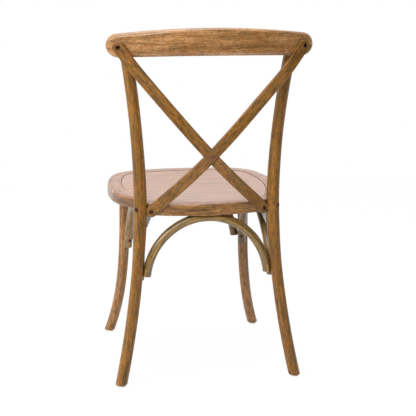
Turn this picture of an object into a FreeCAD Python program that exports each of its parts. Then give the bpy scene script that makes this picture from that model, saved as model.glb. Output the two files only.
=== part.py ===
import FreeCAD, Part
import math
import os

# Cross back dining chair. Millimetres, +Z up, the sitter faces -Y, and the sitter's left is +X.
# Seat and overall size
OVERALL_HEIGHT = 890.0
SEAT_HEIGHT = 456.0
SEAT_WIDTH = 448.0
SEAT_DEPTH = 434.0
BACK_LEG_INSET = 56.4

# Seat frame: a bent hoop, whose depths are measured from the axis of the back legs
SEAT_REAR_Y = 31.0
SEAT_THICKNESS = 28.0
FRAME_BAND = 60.0
WIDEST_Y = -200.0
SIDE_RADIUS = 400.0
REAR_RADIUS = 410.0
FRONT_RADIUS = 600.0
FRONT_CORNER_RADIUS = 95.0
HOOP_REAR_Y = -12.0
HOOP_REAR_CORNER_RADIUS = 143.0
FRAME_TOP_ROUND = 6.0
FRAME_BOTTOM_ROUND = 4.0

# Rear seat rail: a deeper piece behind the hoop, between the back legs
REAR_RAIL_HEIGHT = 30.0
REAR_RAIL_END_INSET = 3.6
REAR_RAIL_CORNER_RADIUS = 30.0
REAR_RAIL_TOP_ROUND = 4.0
REAR_RAIL_BOTTOM_ROUND = 2.5
REAR_RAIL_GLUE_GAP = 0.05
DOWEL_RADIUS = 4.0
DOWEL_LENGTH = 40.0
DOWEL_PLACES = (46.0, 98.0)
DOWEL_BELOW_SEAT = 20.0
DOWEL_END_GAP = 0.5

# Rebate for the panel, cut into the hoop and the rear rail
REBATE_SIDE_INSET = 36.0
REBATE_FRONT_INSET = 35.0
REBATE_REAR_Y = 6.0
REBATE_REAR_CORNER_RADIUS = 76.0
REBATE_FRONT_CORNER_RADIUS = 62.0
REBATE_DEPTH = 9.5

# Seat panel: let into the rebate, with a broken edge and a shallow dish
PANEL_THICKNESS = 9.0
PANEL_EDGE_GAP = 0.4
PANEL_EDGE_BREAK = 1.6
PANEL_DISH = 3.0
PANEL_DISH_MARGIN = 22.0

# Back legs: one bent length each, from the floor to the crest rail
BACK_LEG_SPLAY = 56.5
BACK_LEG_SPLAY_POWER = 1.8
BACK_LEG_RAKE = 50.5
BACK_LEG_RAKE_POWER = 1.25
POST_FLARE = 41.0
POST_FLARE_POWER = 1.8
POST_LEAN = 7.0
POST_BOW = 6.0
POST_TOP_BELOW_CREST = 24.0
LEG_FOOT_RADIUS = 14.5
LEG_SEAT_RADIUS = 16.1
LEG_KNEE_RADIUS = 14.8
POST_TOP_RADIUS = 14.8
LEG_SWELL_REACH = 70.0
LEG_SWELL_FADE = 60.0
POST_TOP_ROUND = 6.0
FOOT_BREAK = 1.8
LEG_NOTCH_CLEARANCE = 0.15

# Front legs: straight under the seat, flared at the foot, tenoned up into the frame
FRONT_LEG_INSET = 31.0
FRONT_LEG_CORNER_ANGLE = -35.6
FRONT_LEG_RADIUS = 14.2
FRONT_FOOT_RADIUS = 13.6
FRONT_FLARE_X = 42.5
FRONT_FLARE_Y = 30.5
FRONT_FLARE_POWER = 3.4
TENON_RADIUS = 10.0
TENON_LENGTH = 16.0
TENON_CLEARANCE = 0.1
TENON_BREAK = 1.0

# Crest rail: a bowed board with a crowned top edge and round ends
RAIL_THICKNESS = 28.0
RAIL_BEND_RADIUS = 688.0
RAIL_MID_HEIGHT = 65.0
RAIL_END_HEIGHT = 55.5
RAIL_CROWN = 15.5
RAIL_OVERHANG = 46.0
RAIL_ROUND = 9.0
RAIL_KINK_ROUND = 40.0
CHEEK_DEPTH = 4.0
CHEEK_SHOULDER_GAP = 0.6

# Cross slats: flat strips, round ended, halved into each other where they cross
SLAT_WIDTH = 28.0
SLAT_THICKNESS = 8.5
SLAT_CORNER = 2.2
SLAT_TOP_OUTSET = 18.4
SLAT_TOP_DROP = 2.0
SLAT_BOTTOM_DROP = 4.0
SLAT_END_TUCK = 2.5
SLAT_LEG_CLEARANCE = 0.4
SLAT_BOW = 26.0
SLAT_SAG = 17.0
SLAT_SEAT_GAP = 0.15
LAP_CLEARANCE = 0.15
SLAT_LOW_FLAT = 24.0
SLAT_HIGH_FLAT = 34.0
SLAT_TWIST_DONE = 0.28
SLAT_TWIST_AGAIN = 0.46
SLAT_STATIONS = 9

# Brace arches: bent rods that tie each pair of legs to the seat frame
ARCH_RADIUS = 11.0
ARCH_END_ROUND = 1.5
ARCH_TOP_FLAT = 2.0
ARCH_COPE = 0.3
ARCH_SPRING_ABOVE_CENTRE = 16.0
REAR_ARCH_END_Z = 272.0
FRONT_ARCH_END_Z = 274.0
SIDE_ARCH_END_Z = 258.0
REAR_ARCH_TURN = 0.157
FRONT_ARCH_CROWN_INSET = 58.0874
SIDE_ARCH_LEAN = 10.0
SIDE_ARCH_FRONT_TURN = 0.33
SIDE_ARCH_REAR_TURN = 0.51
ARCH_STATIONS = 9
ARCH_SCREW_ABOVE_END = 20.0

# Corner brackets: pressed steel, under the frame beside each back leg
BRACKET_GAUGE = 2.0
BRACKET_WIDTH = 13.0
BRACKET_TURN = 22.0
BRACKET_DROP = 32.0
BRACKET_REACH = 27.0
BRACKET_CHEEK_REACH = 13.0
BRACKET_SEAT_DEPTH = 0.9
BRACKET_FIT = 0.1
BRACKET_LEG_SCREW_DROP = 21.0
BRACKET_FRAME_SCREW_REACH = 12.5

# Fasteners: shank radius, head radius, head height
SLAT_SCREW = (2.25, 5.4, 3.0)
CROSSING_SCREW = (1.6, 4.6, 2.2)
ARCH_SCREW = (2.25, 4.5, 2.6)
SMALL_SCREW = (1.75, 3.6, 1.9)
LEG_BOLT = (3.0, 6.0, 3.6)
RAIL_SCREW = (2.5, 4.4, 3.0)
PANEL_SCREW = (1.75, 3.8, 2.6)
SLAT_SCREW_LENGTH = 29.0
CROSSING_SCREW_LENGTH = 6.6
ARCH_END_SCREW_LENGTH = 34.0
ARCH_TOP_SCREW_LENGTH = 32.0
SMALL_SCREW_LENGTH = 15.0
LEG_BOLT_LENGTH = 52.0
RAIL_SCREW_LENGTH = 36.0
PANEL_SCREW_LENGTH = 23.0
SCREW_HOLE_CLEARANCE = 0.05
HEAD_RIM = 0.3
CROSSING_RECESS = 1.2
HEAD_RECESS = 2.2
HEAD_RECESS_CLEARANCE = 0.3
LEG_BOLT_ANGLE = 44.0
LEG_BOLT_BELOW_SEAT = 13.0
LEG_BOLT_HOLE_CLEARANCE = 0.2
BARREL_NUT_RADIUS = 5.0
BARREL_NUT_HEIGHT = 12.0
BARREL_NUT_FROM_LEG = 29.0
BARREL_NUT_CLEARANCE = 0.1
RAIL_SCREW_SPACING = 24.0
PLUG_RADIUS = 4.6
PLUG_LENGTH = 6.0
PLUG_BORE_DEPTH = 9.5
PLUG_PROUD = 0.4
PANEL_SCREW_INSET = 47.0
PANEL_SCREW_FRONT_ANGLE = 9.5
PANEL_SCREW_SIDE_ANGLE = -12.0
PANEL_SCREW_REAR_ANGLE = 14.5

# Floor glides: nylon discs, nailed up into each foot
GLIDE_HEIGHT = 4.0
GLIDE_RADIUS = 10.5
GLIDE_EDGE_BREAK = 1.2
GLIDE_PIN_RADIUS = 2.0
GLIDE_PIN_LENGTH = 15.0

# Values worked out from the sizes above
FRAME_UNDERSIDE = SEAT_HEIGHT - SEAT_THICKNESS
REAR_RAIL_UNDERSIDE = SEAT_HEIGHT - REAR_RAIL_HEIGHT
SEAT_FRONT_Y = SEAT_REAR_Y - SEAT_DEPTH
REAR_RAIL_CENTRE_Y = SEAT_REAR_Y - REAR_RADIUS
BACK_LEG_SPACING = SEAT_WIDTH - 2 * BACK_LEG_INSET
REAR_RAIL_HALF_LENGTH = BACK_LEG_SPACING / 2 - REAR_RAIL_END_INSET
POST_TOP = OVERALL_HEIGHT - POST_TOP_BELOW_CREST
RAIL_MID_Z = OVERALL_HEIGHT - RAIL_CROWN - RAIL_END_HEIGHT / 2
FAR = 400.0
BEYOND = 12.0
UP = FreeCAD.Vector(0, 0, 1)
DOWN = FreeCAD.Vector(0, 0, -1)
ACROSS = FreeCAD.Vector(1, 0, 0)


def vec(x, y, z):
    return FreeCAD.Vector(x, y, z)


def mirrored(shape):
    return shape.mirror(vec(0, 0, 0), ACROSS)


def both_sides(shape):
    return Part.makeCompound([shape, mirrored(shape)])


def rod(base, direction, length, radius):
    return Part.makeCylinder(radius, length, base, direction)


def slab(low, high):
    return Part.makeBox(high.x - low.x, high.y - low.y, high.z - low.z, low)


def circle_meeting(c1, r1, c2, r2):
    """The meeting point of two circles that has the larger X."""
    dx = c2[0] - c1[0]
    dy = c2[1] - c1[1]
    gap = math.hypot(dx, dy)
    along = (gap * gap + r1 * r1 - r2 * r2) / (2 * gap)
    off = math.sqrt(r1 * r1 - along * along)
    foot = (c1[0] + along * dx / gap, c1[1] + along * dy / gap)
    one = (foot[0] - off * dy / gap, foot[1] + off * dx / gap)
    two = (foot[0] + off * dy / gap, foot[1] - off * dx / gap)
    return max(one, two)


def from_corner(corner, angle, distance):
    """A plan point at an angle in degrees and a distance from a corner's centre."""
    turn = math.radians(angle)
    return (corner[0] + distance * math.cos(turn), corner[1] + distance * math.sin(turn))


def tangent_point(centre, radius, corner):
    """Where the line from a circle's centre through a corner's centre meets that circle."""
    reach = math.hypot(corner[0] - centre[0], corner[1] - centre[1])
    return tuple(c + (k - c) * radius / reach for c, k in zip(centre, corner))


def corner_middle(corner, radius, start, end):
    angles = [math.atan2(point[1] - corner[1], point[0] - corner[0]) for point in (start, end)]
    return from_corner(corner, math.degrees(sum(angles) / 2), radius)


# Seat outlines: four bowed edges and four round corners, parallel at any inset
class SeatOutline:
    def __init__(self, half_width, front_y, rear_y, front_corner_radius, rear_corner_radius):
        self.half_width = half_width
        self.front_y = front_y
        self.rear_y = rear_y
        self.front_corner_radius = front_corner_radius
        self.rear_corner_radius = rear_corner_radius
        self.side_centre = (half_width - SIDE_RADIUS, WIDEST_Y)
        self.rear_centre = (0.0, rear_y - REAR_RADIUS)
        self.front_centre = (0.0, front_y + FRONT_RADIUS)
        self.front_corner = self.corner(self.front_centre, FRONT_RADIUS, front_corner_radius)
        self.rear_corner = self.corner(self.rear_centre, REAR_RADIUS, rear_corner_radius)

    def corner(self, centre, radius, corner_radius):
        """The centre of a round corner that runs smoothly into both of the edges beside it."""
        return circle_meeting(centre, radius - corner_radius, self.side_centre, SIDE_RADIUS - corner_radius)

    def face(self, inset, z):
        front = tangent_point(self.front_centre, FRONT_RADIUS - inset, self.front_corner)
        side_front = tangent_point(self.side_centre, SIDE_RADIUS - inset, self.front_corner)
        side_rear = tangent_point(self.side_centre, SIDE_RADIUS - inset, self.rear_corner)
        rear = tangent_point(self.rear_centre, REAR_RADIUS - inset, self.rear_corner)
        front_turn = corner_middle(self.front_corner, self.front_corner_radius - inset, front, side_front)
        rear_turn = corner_middle(self.rear_corner, self.rear_corner_radius - inset, side_rear, rear)
        side_turn = (self.half_width - inset, WIDEST_Y)
        half = [(front, front_turn, side_front)]
        half += [(side_front, side_turn, side_rear), (side_rear, rear_turn, rear)]
        edges = []
        for side in (1, -1):
            for arc in half:
                ends = [vec(side * p[0], p[1], z) for p in arc]
                edges.append(Part.Arc(*ends).toShape())
        for middle_y, (x, y) in ((self.front_y + inset, front), (self.rear_y - inset, rear)):
            edges.append(Part.Arc(vec(-x, y, z), vec(0, middle_y, z), vec(x, y, z)).toShape())
        return Part.Face(Part.Wire(Part.__sortEdges__(edges)))


HOOP = SeatOutline(SEAT_WIDTH / 2, SEAT_FRONT_Y, HOOP_REAR_Y, FRONT_CORNER_RADIUS, HOOP_REAR_CORNER_RADIUS)
REBATE = SeatOutline(SEAT_WIDTH / 2 - REBATE_SIDE_INSET, SEAT_FRONT_Y + REBATE_FRONT_INSET, REBATE_REAR_Y,
                     REBATE_FRONT_CORNER_RADIUS, REBATE_REAR_CORNER_RADIUS)
BACK_LEG = (BACK_LEG_SPACING / 2, 0.0)
FRONT_LEG = from_corner(HOOP.front_corner, FRONT_LEG_CORNER_ANGLE, FRONT_CORNER_RADIUS - FRONT_LEG_INSET)


def rear_rail_end():
    """Where the rear face's arc runs out at the rail's ends."""
    return REAR_RAIL_CENTRE_Y + math.sqrt(REAR_RADIUS ** 2 - REAR_RAIL_HALF_LENGTH ** 2)


def edges_at(shape, z):
    """The edges that lie level at a height."""
    found = []
    for edge in shape.Edges:
        level = all(abs(v.Z - z) < 0.01 for v in edge.Vertexes)
        middle = edge.valueAt((edge.FirstParameter + edge.LastParameter) / 2)
        if level and abs(middle.z - z) < 0.01:
            found.append(edge)
    return found


# Centre lines of the legs, by height
def back_leg_point(z):
    x, y = BACK_LEG
    if z < SEAT_HEIGHT:
        left = 1 - z / SEAT_HEIGHT
        splay = BACK_LEG_SPLAY * left ** BACK_LEG_SPLAY_POWER
        return vec(x + splay, y + BACK_LEG_RAKE * left ** BACK_LEG_RAKE_POWER, z)
    rise = (z - SEAT_HEIGHT) / (POST_TOP - SEAT_HEIGHT)
    bow = POST_BOW * math.sin(math.pi * min(rise, 1.0))
    return vec(x + POST_FLARE * rise ** POST_FLARE_POWER, y + POST_LEAN * rise * rise - bow, z)


def front_leg_point(z):
    left = max(0.0, 1 - z / FRAME_UNDERSIDE) ** FRONT_FLARE_POWER
    return vec(FRONT_LEG[0] + FRONT_FLARE_X * left, FRONT_LEG[1] - FRONT_FLARE_Y * left, z)


def eased(t):
    t = min(max(t, 0.0), 1.0)
    return t * t * (3 - 2 * t)


def back_leg_radius(z):
    if z < SEAT_HEIGHT:
        plain = LEG_FOOT_RADIUS + (LEG_KNEE_RADIUS - LEG_FOOT_RADIUS) * max(z, 0.0) / SEAT_HEIGHT
    else:
        rise = (z - SEAT_HEIGHT) / (POST_TOP - SEAT_HEIGHT)
        plain = LEG_KNEE_RADIUS + (POST_TOP_RADIUS - LEG_KNEE_RADIUS) * rise
    away = abs(z - (SEAT_HEIGHT - SEAT_THICKNESS / 2))
    return LEG_SEAT_RADIUS + (plain - LEG_SEAT_RADIUS) * eased((away - LEG_SWELL_REACH) / LEG_SWELL_FADE)


def front_leg_radius(z):
    return FRONT_FOOT_RADIUS + (FRONT_LEG_RADIUS - FRONT_FOOT_RADIUS) * eased(z / FRAME_UNDERSIDE)


def placed_section(wire, point, tangent, across):
    """A flat section drawn at the origin, stood square to a path with its X along a direction."""
    turn = FreeCAD.Rotation(across, UP, tangent, "ZXY")
    copy = wire.copy()
    copy.Placement = FreeCAD.Placement(point, turn)
    return copy


def bent_rod(point_at, radius_at, stations, across):
    """A round rod through circles that stand square to a centre line."""
    step = (stations[-1] - stations[0]) * 0.001
    rings = []
    for s in stations:
        tangent = point_at(s + step) - point_at(s - step)
        ring = Part.Wire(Part.makeCircle(radius_at(s)))
        rings.append(placed_section(ring, point_at(s), tangent, across))
    return Part.makeLoft(rings, True, False)


def spread(low, high, count):
    return [low + (high - low) * i / (count - 1) for i in range(count)]


def level_cut(shape, low_z, high_z):
    return shape.common(slab(vec(-2 * FAR, -2 * FAR, low_z), vec(2 * FAR, 2 * FAR, high_z)))


# Crest rail: where its bend is centred, and points on its rear face
POST_AT_RAIL = back_leg_point(RAIL_MID_Z)
RAIL_FRONT_RADIUS = RAIL_BEND_RADIUS - RAIL_THICKNESS
POST_REACH = RAIL_FRONT_RADIUS - POST_TOP_RADIUS + CHEEK_DEPTH
RAIL_CENTRE_Y = POST_AT_RAIL.y - math.sqrt(POST_REACH ** 2 - POST_AT_RAIL.x ** 2)
RAIL_END_X = POST_AT_RAIL.x + RAIL_OVERHANG


def rail_normal(x):
    turn = math.asin(x / RAIL_BEND_RADIUS)
    return vec(math.sin(turn), math.cos(turn), 0)


def rail_rear_point(x, z):
    return vec(0, RAIL_CENTRE_Y, z) + rail_normal(x) * RAIL_BEND_RADIUS


def rail_bottom_z(x):
    """Height of the rail's lower edge, a shallow arc that rises to the middle."""
    end_x = RAIL_END_X - RAIL_END_HEIGHT / 2
    end_z = OVERALL_HEIGHT - RAIL_CROWN - RAIL_END_HEIGHT
    middle_z = OVERALL_HEIGHT - RAIL_MID_HEIGHT
    return middle_z - (middle_z - end_z) * (x / end_x) ** 2


def bend_sector(inner, outer, low_z, high_z):
    """The rear part of a thick upright tube about the rail's bend axis."""
    base = vec(0, RAIL_CENTRE_Y, low_z)
    ring = rod(base, UP, high_z - low_z, outer).cut(rod(base, UP, high_z - low_z, inner))
    return ring.common(slab(vec(-FAR, POST_AT_RAIL.y - 2 * RAIL_THICKNESS, low_z), vec(FAR, 2 * FAR, high_z)))


def crest_rail_blank():
    end_x = RAIL_END_X - RAIL_END_HEIGHT / 2
    high = OVERALL_HEIGHT - RAIL_CROWN
    low = high - RAIL_END_HEIGHT
    y = -FAR
    top = Part.Arc(vec(-end_x, y, high), vec(0, y, OVERALL_HEIGHT), vec(end_x, y, high)).toShape()
    right = Part.Arc(vec(end_x, y, high), vec(RAIL_END_X, y, RAIL_MID_Z), vec(end_x, y, low)).toShape()
    mid_low = OVERALL_HEIGHT - RAIL_MID_HEIGHT
    bottom = Part.Arc(vec(end_x, y, low), vec(0, y, mid_low), vec(-end_x, y, low)).toShape()
    left = Part.Arc(vec(-end_x, y, low), vec(-RAIL_END_X, y, RAIL_MID_Z), vec(-end_x, y, high)).toShape()
    board = Part.Face(Part.Wire([top, right, bottom, left])).extrude(vec(0, 2 * FAR, 0))
    kinks = [e for e in board.Edges if abs(e.Length - 2 * FAR) < 0.01]
    board = board.makeFillet(RAIL_KINK_ROUND, kinks)
    top = OVERALL_HEIGHT + RAIL_THICKNESS
    bend = bend_sector(RAIL_FRONT_RADIUS, RAIL_BEND_RADIUS, low - RAIL_THICKNESS, top)
    blank = board.common(bend)
    short = [e for e in blank.Edges if e.Length < RAIL_THICKNESS * 1.2]
    across = [e for e in short if abs(e.tangentAt(e.FirstParameter).y) > 0.5]
    rims = [e for e in blank.Edges if not any(e.isSame(other) for other in across)]
    return blank.makeFillet(RAIL_ROUND, rims)


# Cross slats: the centre line of one slat, from the rear seat rail to the crest rail's far end
SLAT_TOP_X = POST_AT_RAIL.x + SLAT_TOP_OUTSET
SLAT_BOTTOM_X = BACK_LEG[0] - LEG_SEAT_RADIUS - SLAT_WIDTH / 2 + SLAT_END_TUCK
SLAT_STAND_OFF = SLAT_THICKNESS / 2 + SLAT_SEAT_GAP


def slat_bottom():
    """The low end's middle point and outward normal, on the rear seat rail."""
    turn = math.asin(-SLAT_BOTTOM_X / REAR_RADIUS)
    normal = vec(math.sin(turn), math.cos(turn), 0)
    z = SEAT_HEIGHT - REAR_RAIL_HEIGHT / 2 - SLAT_BOTTOM_DROP
    return vec(0, REAR_RAIL_CENTRE_Y, z) + normal * (REAR_RADIUS + SLAT_STAND_OFF), normal


def slat_top():
    """The high end's middle point and outward normal, on the crest rail's rear face."""
    normal = rail_normal(SLAT_TOP_X)
    return rail_rear_point(SLAT_TOP_X, RAIL_MID_Z - SLAT_TOP_DROP) + normal * SLAT_STAND_OFF, normal


def slat_curve():
    """The bowed centre line between the flat stretches that lie on the two rails."""
    start, start_normal = slat_bottom()
    end, end_normal = slat_top()
    run = end - start
    points = []
    for t in (0.25, 0.5, 0.75):
        hump = 4 * t * (1 - t)
        points.append(start + run * t + vec(0, SLAT_BOW * hump, -SLAT_SAG * hump))
    leave = points[0] - start
    arrive = end - points[-1]
    leave = (leave - start_normal * leave.dot(start_normal)).normalize()
    arrive = (arrive - end_normal * arrive.dot(end_normal)).normalize()
    points = [start + leave * SLAT_LOW_FLAT] + points + [end - arrive * SLAT_HIGH_FLAT]
    curve = Part.BSplineCurve()
    curve.interpolate(Points=points, InitialTangent=leave * run.Length, FinalTangent=arrive * run.Length)
    return curve


def level_normal(tangent):
    """The face direction that a slat and its mirror image share where they cross."""
    return tangent.cross(ACROSS).normalize()


def slat_frames():
    """Point, tangent and outward normal along a slat: its low flat, its bowed part and its high flat."""
    curve = slat_curve()
    start_normal = slat_bottom()[1]
    end_normal = slat_top()[1]
    low, high = curve.FirstParameter, curve.LastParameter
    frames = []
    for t in spread(0.0, 1.0, SLAT_STATIONS):
        u = low + (high - low) * t
        tangent = curve.tangent(u)[0]
        start_share = 1 - eased(t / SLAT_TWIST_DONE)
        end_share = eased((t - SLAT_TWIST_AGAIN) / (1 - SLAT_TWIST_AGAIN))
        normal = level_normal(tangent) * (1 - start_share - end_share)
        normal = normal + start_normal * start_share + end_normal * end_share
        normal = (normal - tangent * normal.dot(tangent)).normalize()
        frames.append((curve.value(u), tangent, normal))
    reach = SLAT_WIDTH / 2 + 2
    point, tangent, normal = frames[0]
    ahead = [(point - tangent * back, tangent, normal) for back in (SLAT_LOW_FLAT + reach, SLAT_LOW_FLAT)]
    point, tangent, normal = frames[-1]
    behind = [(point + tangent * on, tangent, normal) for on in (SLAT_HIGH_FLAT, SLAT_HIGH_FLAT + reach)]
    return ahead, frames, behind


def slat_section():
    """A flat strip's cross section, with rounded corners."""
    w = SLAT_WIDTH / 2
    t = SLAT_THICKNESS / 2
    r = SLAT_CORNER
    m = r * (1 - math.sqrt(0.5))
    edges = []
    for sx, sy in ((1, 1), (-1, 1), (-1, -1), (1, -1)):
        side = vec(sx * w, sy * (t - r), 0)
        turn = vec(sx * (w - m), sy * (t - m), 0)
        face = vec(sx * (w - r), sy * t, 0)
        edges.append(Part.Arc(side, turn, face).toShape())
    for s in (1, -1):
        edges.append(Part.LineSegment(vec(-w + r, s * t, 0), vec(w - r, s * t, 0)).toShape())
        edges.append(Part.LineSegment(vec(s * w, -t + r, 0), vec(s * w, t - r, 0)).toShape())
    return Part.Wire(Part.__sortEdges__(edges))


def slat_blank():
    """One slat before its halving and holes, rising from -X to +X, with both ends round."""
    low_flat, bow, high_flat = slat_frames()
    section = slat_section()
    lengths = []
    for frames, ruled in ((low_flat + bow[:1], True), (bow, False), (bow[-1:] + high_flat, True)):
        wires = [placed_section(section, point, along, face.cross(along)) for point, along, face in frames]
        lengths.append(Part.makeLoft(wires, True, ruled))
    strip = lengths[0].fuse(lengths[1:]).removeSplitter()
    size = 2 * SLAT_WIDTH
    thick = SLAT_THICKNESS + LAP_CLEARANCE / 3
    puck = rod(vec(0, -thick / 2, 0), vec(0, 1, 0), thick, SLAT_WIDTH / 2)
    puck = puck.makeFillet(SLAT_CORNER, [e for e in puck.Edges if len(e.Vertexes) == 1])
    waste = Part.makeBox(size, size, size, vec(-size / 2, -size / 2, 0)).cut(puck)
    for (point, tangent, normal), away in ((low_flat[1], -1), (high_flat[0], 1)):
        outward = tangent * away
        end_waste = waste.copy()
        turn = FreeCAD.Rotation(normal.cross(outward), normal, outward, "ZYX")
        end_waste.Placement = FreeCAD.Placement(point, turn)
        strip = strip.cut(end_waste)
    return strip


def slat_crossing():
    """The point on the centre line above the chair's middle, with the tangent and normal there."""
    curve = slat_curve()
    low, high = curve.FirstParameter, curve.LastParameter
    for _ in range(60):
        middle = (low + high) / 2
        if curve.value(middle).x < 0:
            low = middle
        else:
            high = middle
    tangent = curve.tangent(low)[0]
    return curve.value(low), tangent, level_normal(tangent)


def halving_waste(point, other_tangent, toward):
    """The block that one slat takes out of the other, from the middle plane towards one face."""
    length = 3 * SLAT_WIDTH
    width = SLAT_WIDTH + 2 * LAP_CLEARANCE
    block = Part.makeBox(width, 2 * SLAT_THICKNESS, length, vec(-width / 2, -LAP_CLEARANCE / 2, -length / 2))
    turn = FreeCAD.Rotation(toward.cross(other_tangent), toward, other_tangent, "ZYX")
    block.Placement = FreeCAD.Placement(point, turn)
    return block


# Fasteners, each drawn with its head's underside at the origin and its shank along -Z
def spun(outline, top=None):
    """A solid of revolution from (radius, height) corners, closed by a dome if it is given a top height."""
    corners = [vec(radius, 0, z) for radius, z in outline]
    edges = [Part.LineSegment(a, b).toShape() for a, b in zip(corners, corners[1:])]
    last = corners[-1]
    if top is None:
        edges.append(Part.LineSegment(last, corners[0]).toShape())
    else:
        rise = top - last.z
        radius = (last.x ** 2 + rise ** 2) / (2 * rise)
        half_turn = math.asin(last.x / radius) / 2
        middle = vec(radius * math.sin(half_turn), 0, top - radius + radius * math.cos(half_turn))
        edges.append(Part.Arc(last, middle, vec(0, 0, top)).toShape())
        edges.append(Part.LineSegment(vec(0, 0, top), corners[0]).toShape())
    return Part.Face(Part.Wire(edges)).revolve(vec(0, 0, 0), UP, 360)


def dome_screw(size, length):
    shank, head, height = size
    tip = [(0, -length), (shank, 2 * shank - length)]
    return spun(tip + [(shank, 0), (head, 0), (head, height * HEAD_RIM)], height)


def dome_bolt(size, length):
    shank, head, height = size
    end = [(0, -length), (shank * 0.8, -length), (shank, shank * 0.2 - length)]
    return spun(end + [(shank, 0), (head, 0), (head, height * HEAD_RIM)], height)


def flat_screw(size, length, grow=0.0):
    """A countersunk screw whose head's top is at the origin, or the hole for it when it is grown."""
    shank, head, height = size
    tip = [(0, -length - grow), (shank + grow, 2 * shank - length)]
    return spun(tip + [(shank + grow, -height), (head + grow, 0), (0, 0)])


def aimed(shape, place):
    """A fastener or cutter moved to a place, which is a point and the outward direction there."""
    point, outward = place
    copy = shape.copy()
    copy.Placement = FreeCAD.Placement(point, FreeCAD.Rotation(UP, outward))
    return copy


def sunk(place, depth):
    """The place at a depth under a surface."""
    point, outward = place
    return (point - outward * depth, outward)


def bore(place, depth, radius, clear=BEYOND):
    """A drilled hole from a place inwards, opened outwards by a clear length as well."""
    point, outward = place
    return rod(point + outward * clear, outward * -1, depth + clear, radius)


def shank_bore(seat, size, length):
    return bore(seat, length + 0.5, size[0] + SCREW_HOLE_CLEARANCE, 0.0)


def head_bore(place, size, depth=HEAD_RECESS):
    return bore(place, depth, size[1] + HEAD_RECESS_CLEARANCE)


# Arches: half an ellipse between two feet, in a plane that may lean, cut level on top where the seat rests
class ArchLine:
    def __init__(self, foot_a, foot_b, lean, foot_z, top_z=FRAME_UNDERSIDE):
        self.foot_z = foot_z
        self.top_z = top_z
        self.centre_z = foot_z - ARCH_SPRING_ABOVE_CENTRE
        self.rise_z = FRAME_UNDERSIDE - ARCH_RADIUS + ARCH_TOP_FLAT - self.centre_z
        self.start = math.asin(ARCH_SPRING_ABOVE_CENTRE / self.rise_z)
        self.half = (foot_b - foot_a) * (0.5 / math.cos(self.start))
        self.rise = vec(lean.x, lean.y, self.rise_z)
        sprung = lean * math.sin(self.start)
        self.centre = at_height((foot_a + foot_b) * 0.5 - sprung, self.centre_z)

    def point(self, angle):
        return self.centre - self.half * math.cos(angle) + self.rise * math.sin(angle)

    def point_above_foot(self, height, far_end=False):
        angle = math.asin((ARCH_SPRING_ABOVE_CENTRE + height) / self.rise_z)
        return self.point(math.pi - angle if far_end else angle)

    def solid(self):
        across = self.half.cross(self.rise).normalize()
        stations = spread(self.start, math.pi - self.start, ARCH_STATIONS)
        shape = bent_rod(self.point, lambda angle: ARCH_RADIUS, stations, across)
        feet = (self.point(stations[0]), self.point(stations[-1]))
        ends = [e for e in shape.Edges if min((e.CenterOfMass - foot).Length for foot in feet) < 1]
        shape = shape.makeFillet(ARCH_END_ROUND, ends)
        return level_cut(shape, 0, self.top_z)


def at_height(point, z):
    return vec(point.x, point.y, z)


def flip(point):
    return vec(-point.x, point.y, point.z)


def lean_to(crown_y, foot_y, foot_z):
    """How far an arch leans over its height, to bring its crown under a given line."""
    rise_z = FRAME_UNDERSIDE - ARCH_RADIUS + ARCH_TOP_FLAT - foot_z + ARCH_SPRING_ABOVE_CENTRE
    return (foot_y - crown_y) / (1 - ARCH_SPRING_ABOVE_CENTRE / rise_z)


def beside(leg_point, leg_radius, z, direction):
    """The plan point of an arch foot, coped against a leg on the side that a plan direction gives."""
    reach = leg_radius(z) + ARCH_RADIUS - ARCH_COPE
    return at_height(leg_point(z), 0) + direction.normalize() * reach


REAR_FOOT = beside(back_leg_point, back_leg_radius, REAR_ARCH_END_Z, vec(-1, -REAR_ARCH_TURN, 0))
FRONT_FOOT = beside(front_leg_point, front_leg_radius, FRONT_ARCH_END_Z, vec(-1, 0, 0))
FRONT_ARCH_LEAN = lean_to(SEAT_FRONT_Y + FRONT_ARCH_CROWN_INSET, FRONT_FOOT.y, FRONT_ARCH_END_Z)
SIDE_FRONT_WAY = vec(-SIDE_ARCH_FRONT_TURN, 1, 0)
SIDE_REAR_WAY = vec(-SIDE_ARCH_REAR_TURN, -1, 0)
SIDE_FRONT_FOOT = beside(front_leg_point, front_leg_radius, SIDE_ARCH_END_Z, SIDE_FRONT_WAY)
SIDE_REAR_FOOT = beside(back_leg_point, back_leg_radius, SIDE_ARCH_END_Z, SIDE_REAR_WAY)
REAR_ARCH_LINE = ArchLine(REAR_FOOT, flip(REAR_FOOT), vec(0, 0, 0), REAR_ARCH_END_Z, REAR_RAIL_UNDERSIDE)
FRONT_ARCH_LINE = ArchLine(FRONT_FOOT, flip(FRONT_FOOT), vec(0, -FRONT_ARCH_LEAN, 0), FRONT_ARCH_END_Z)
SIDE_ARCH_LINE = ArchLine(SIDE_FRONT_FOOT, SIDE_REAR_FOOT, vec(-SIDE_ARCH_LEAN, 0, 0), SIDE_ARCH_END_Z)


def arch_end_place(line, leg_point, far_end=False):
    """Where an end screw enters an arch, on the side that faces away from the leg."""
    centre = line.point_above_foot(ARCH_SCREW_ABOVE_END, far_end)
    leg = leg_point(centre.z)
    outward = (at_height(centre, 0) - at_height(leg, 0)).normalize()
    return (centre + outward * ARCH_RADIUS, outward)


def arch_top_place(line):
    """Where a screw enters an arch's top from below."""
    return (line.point(math.pi / 2) - UP * ARCH_RADIUS, DOWN)


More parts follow.
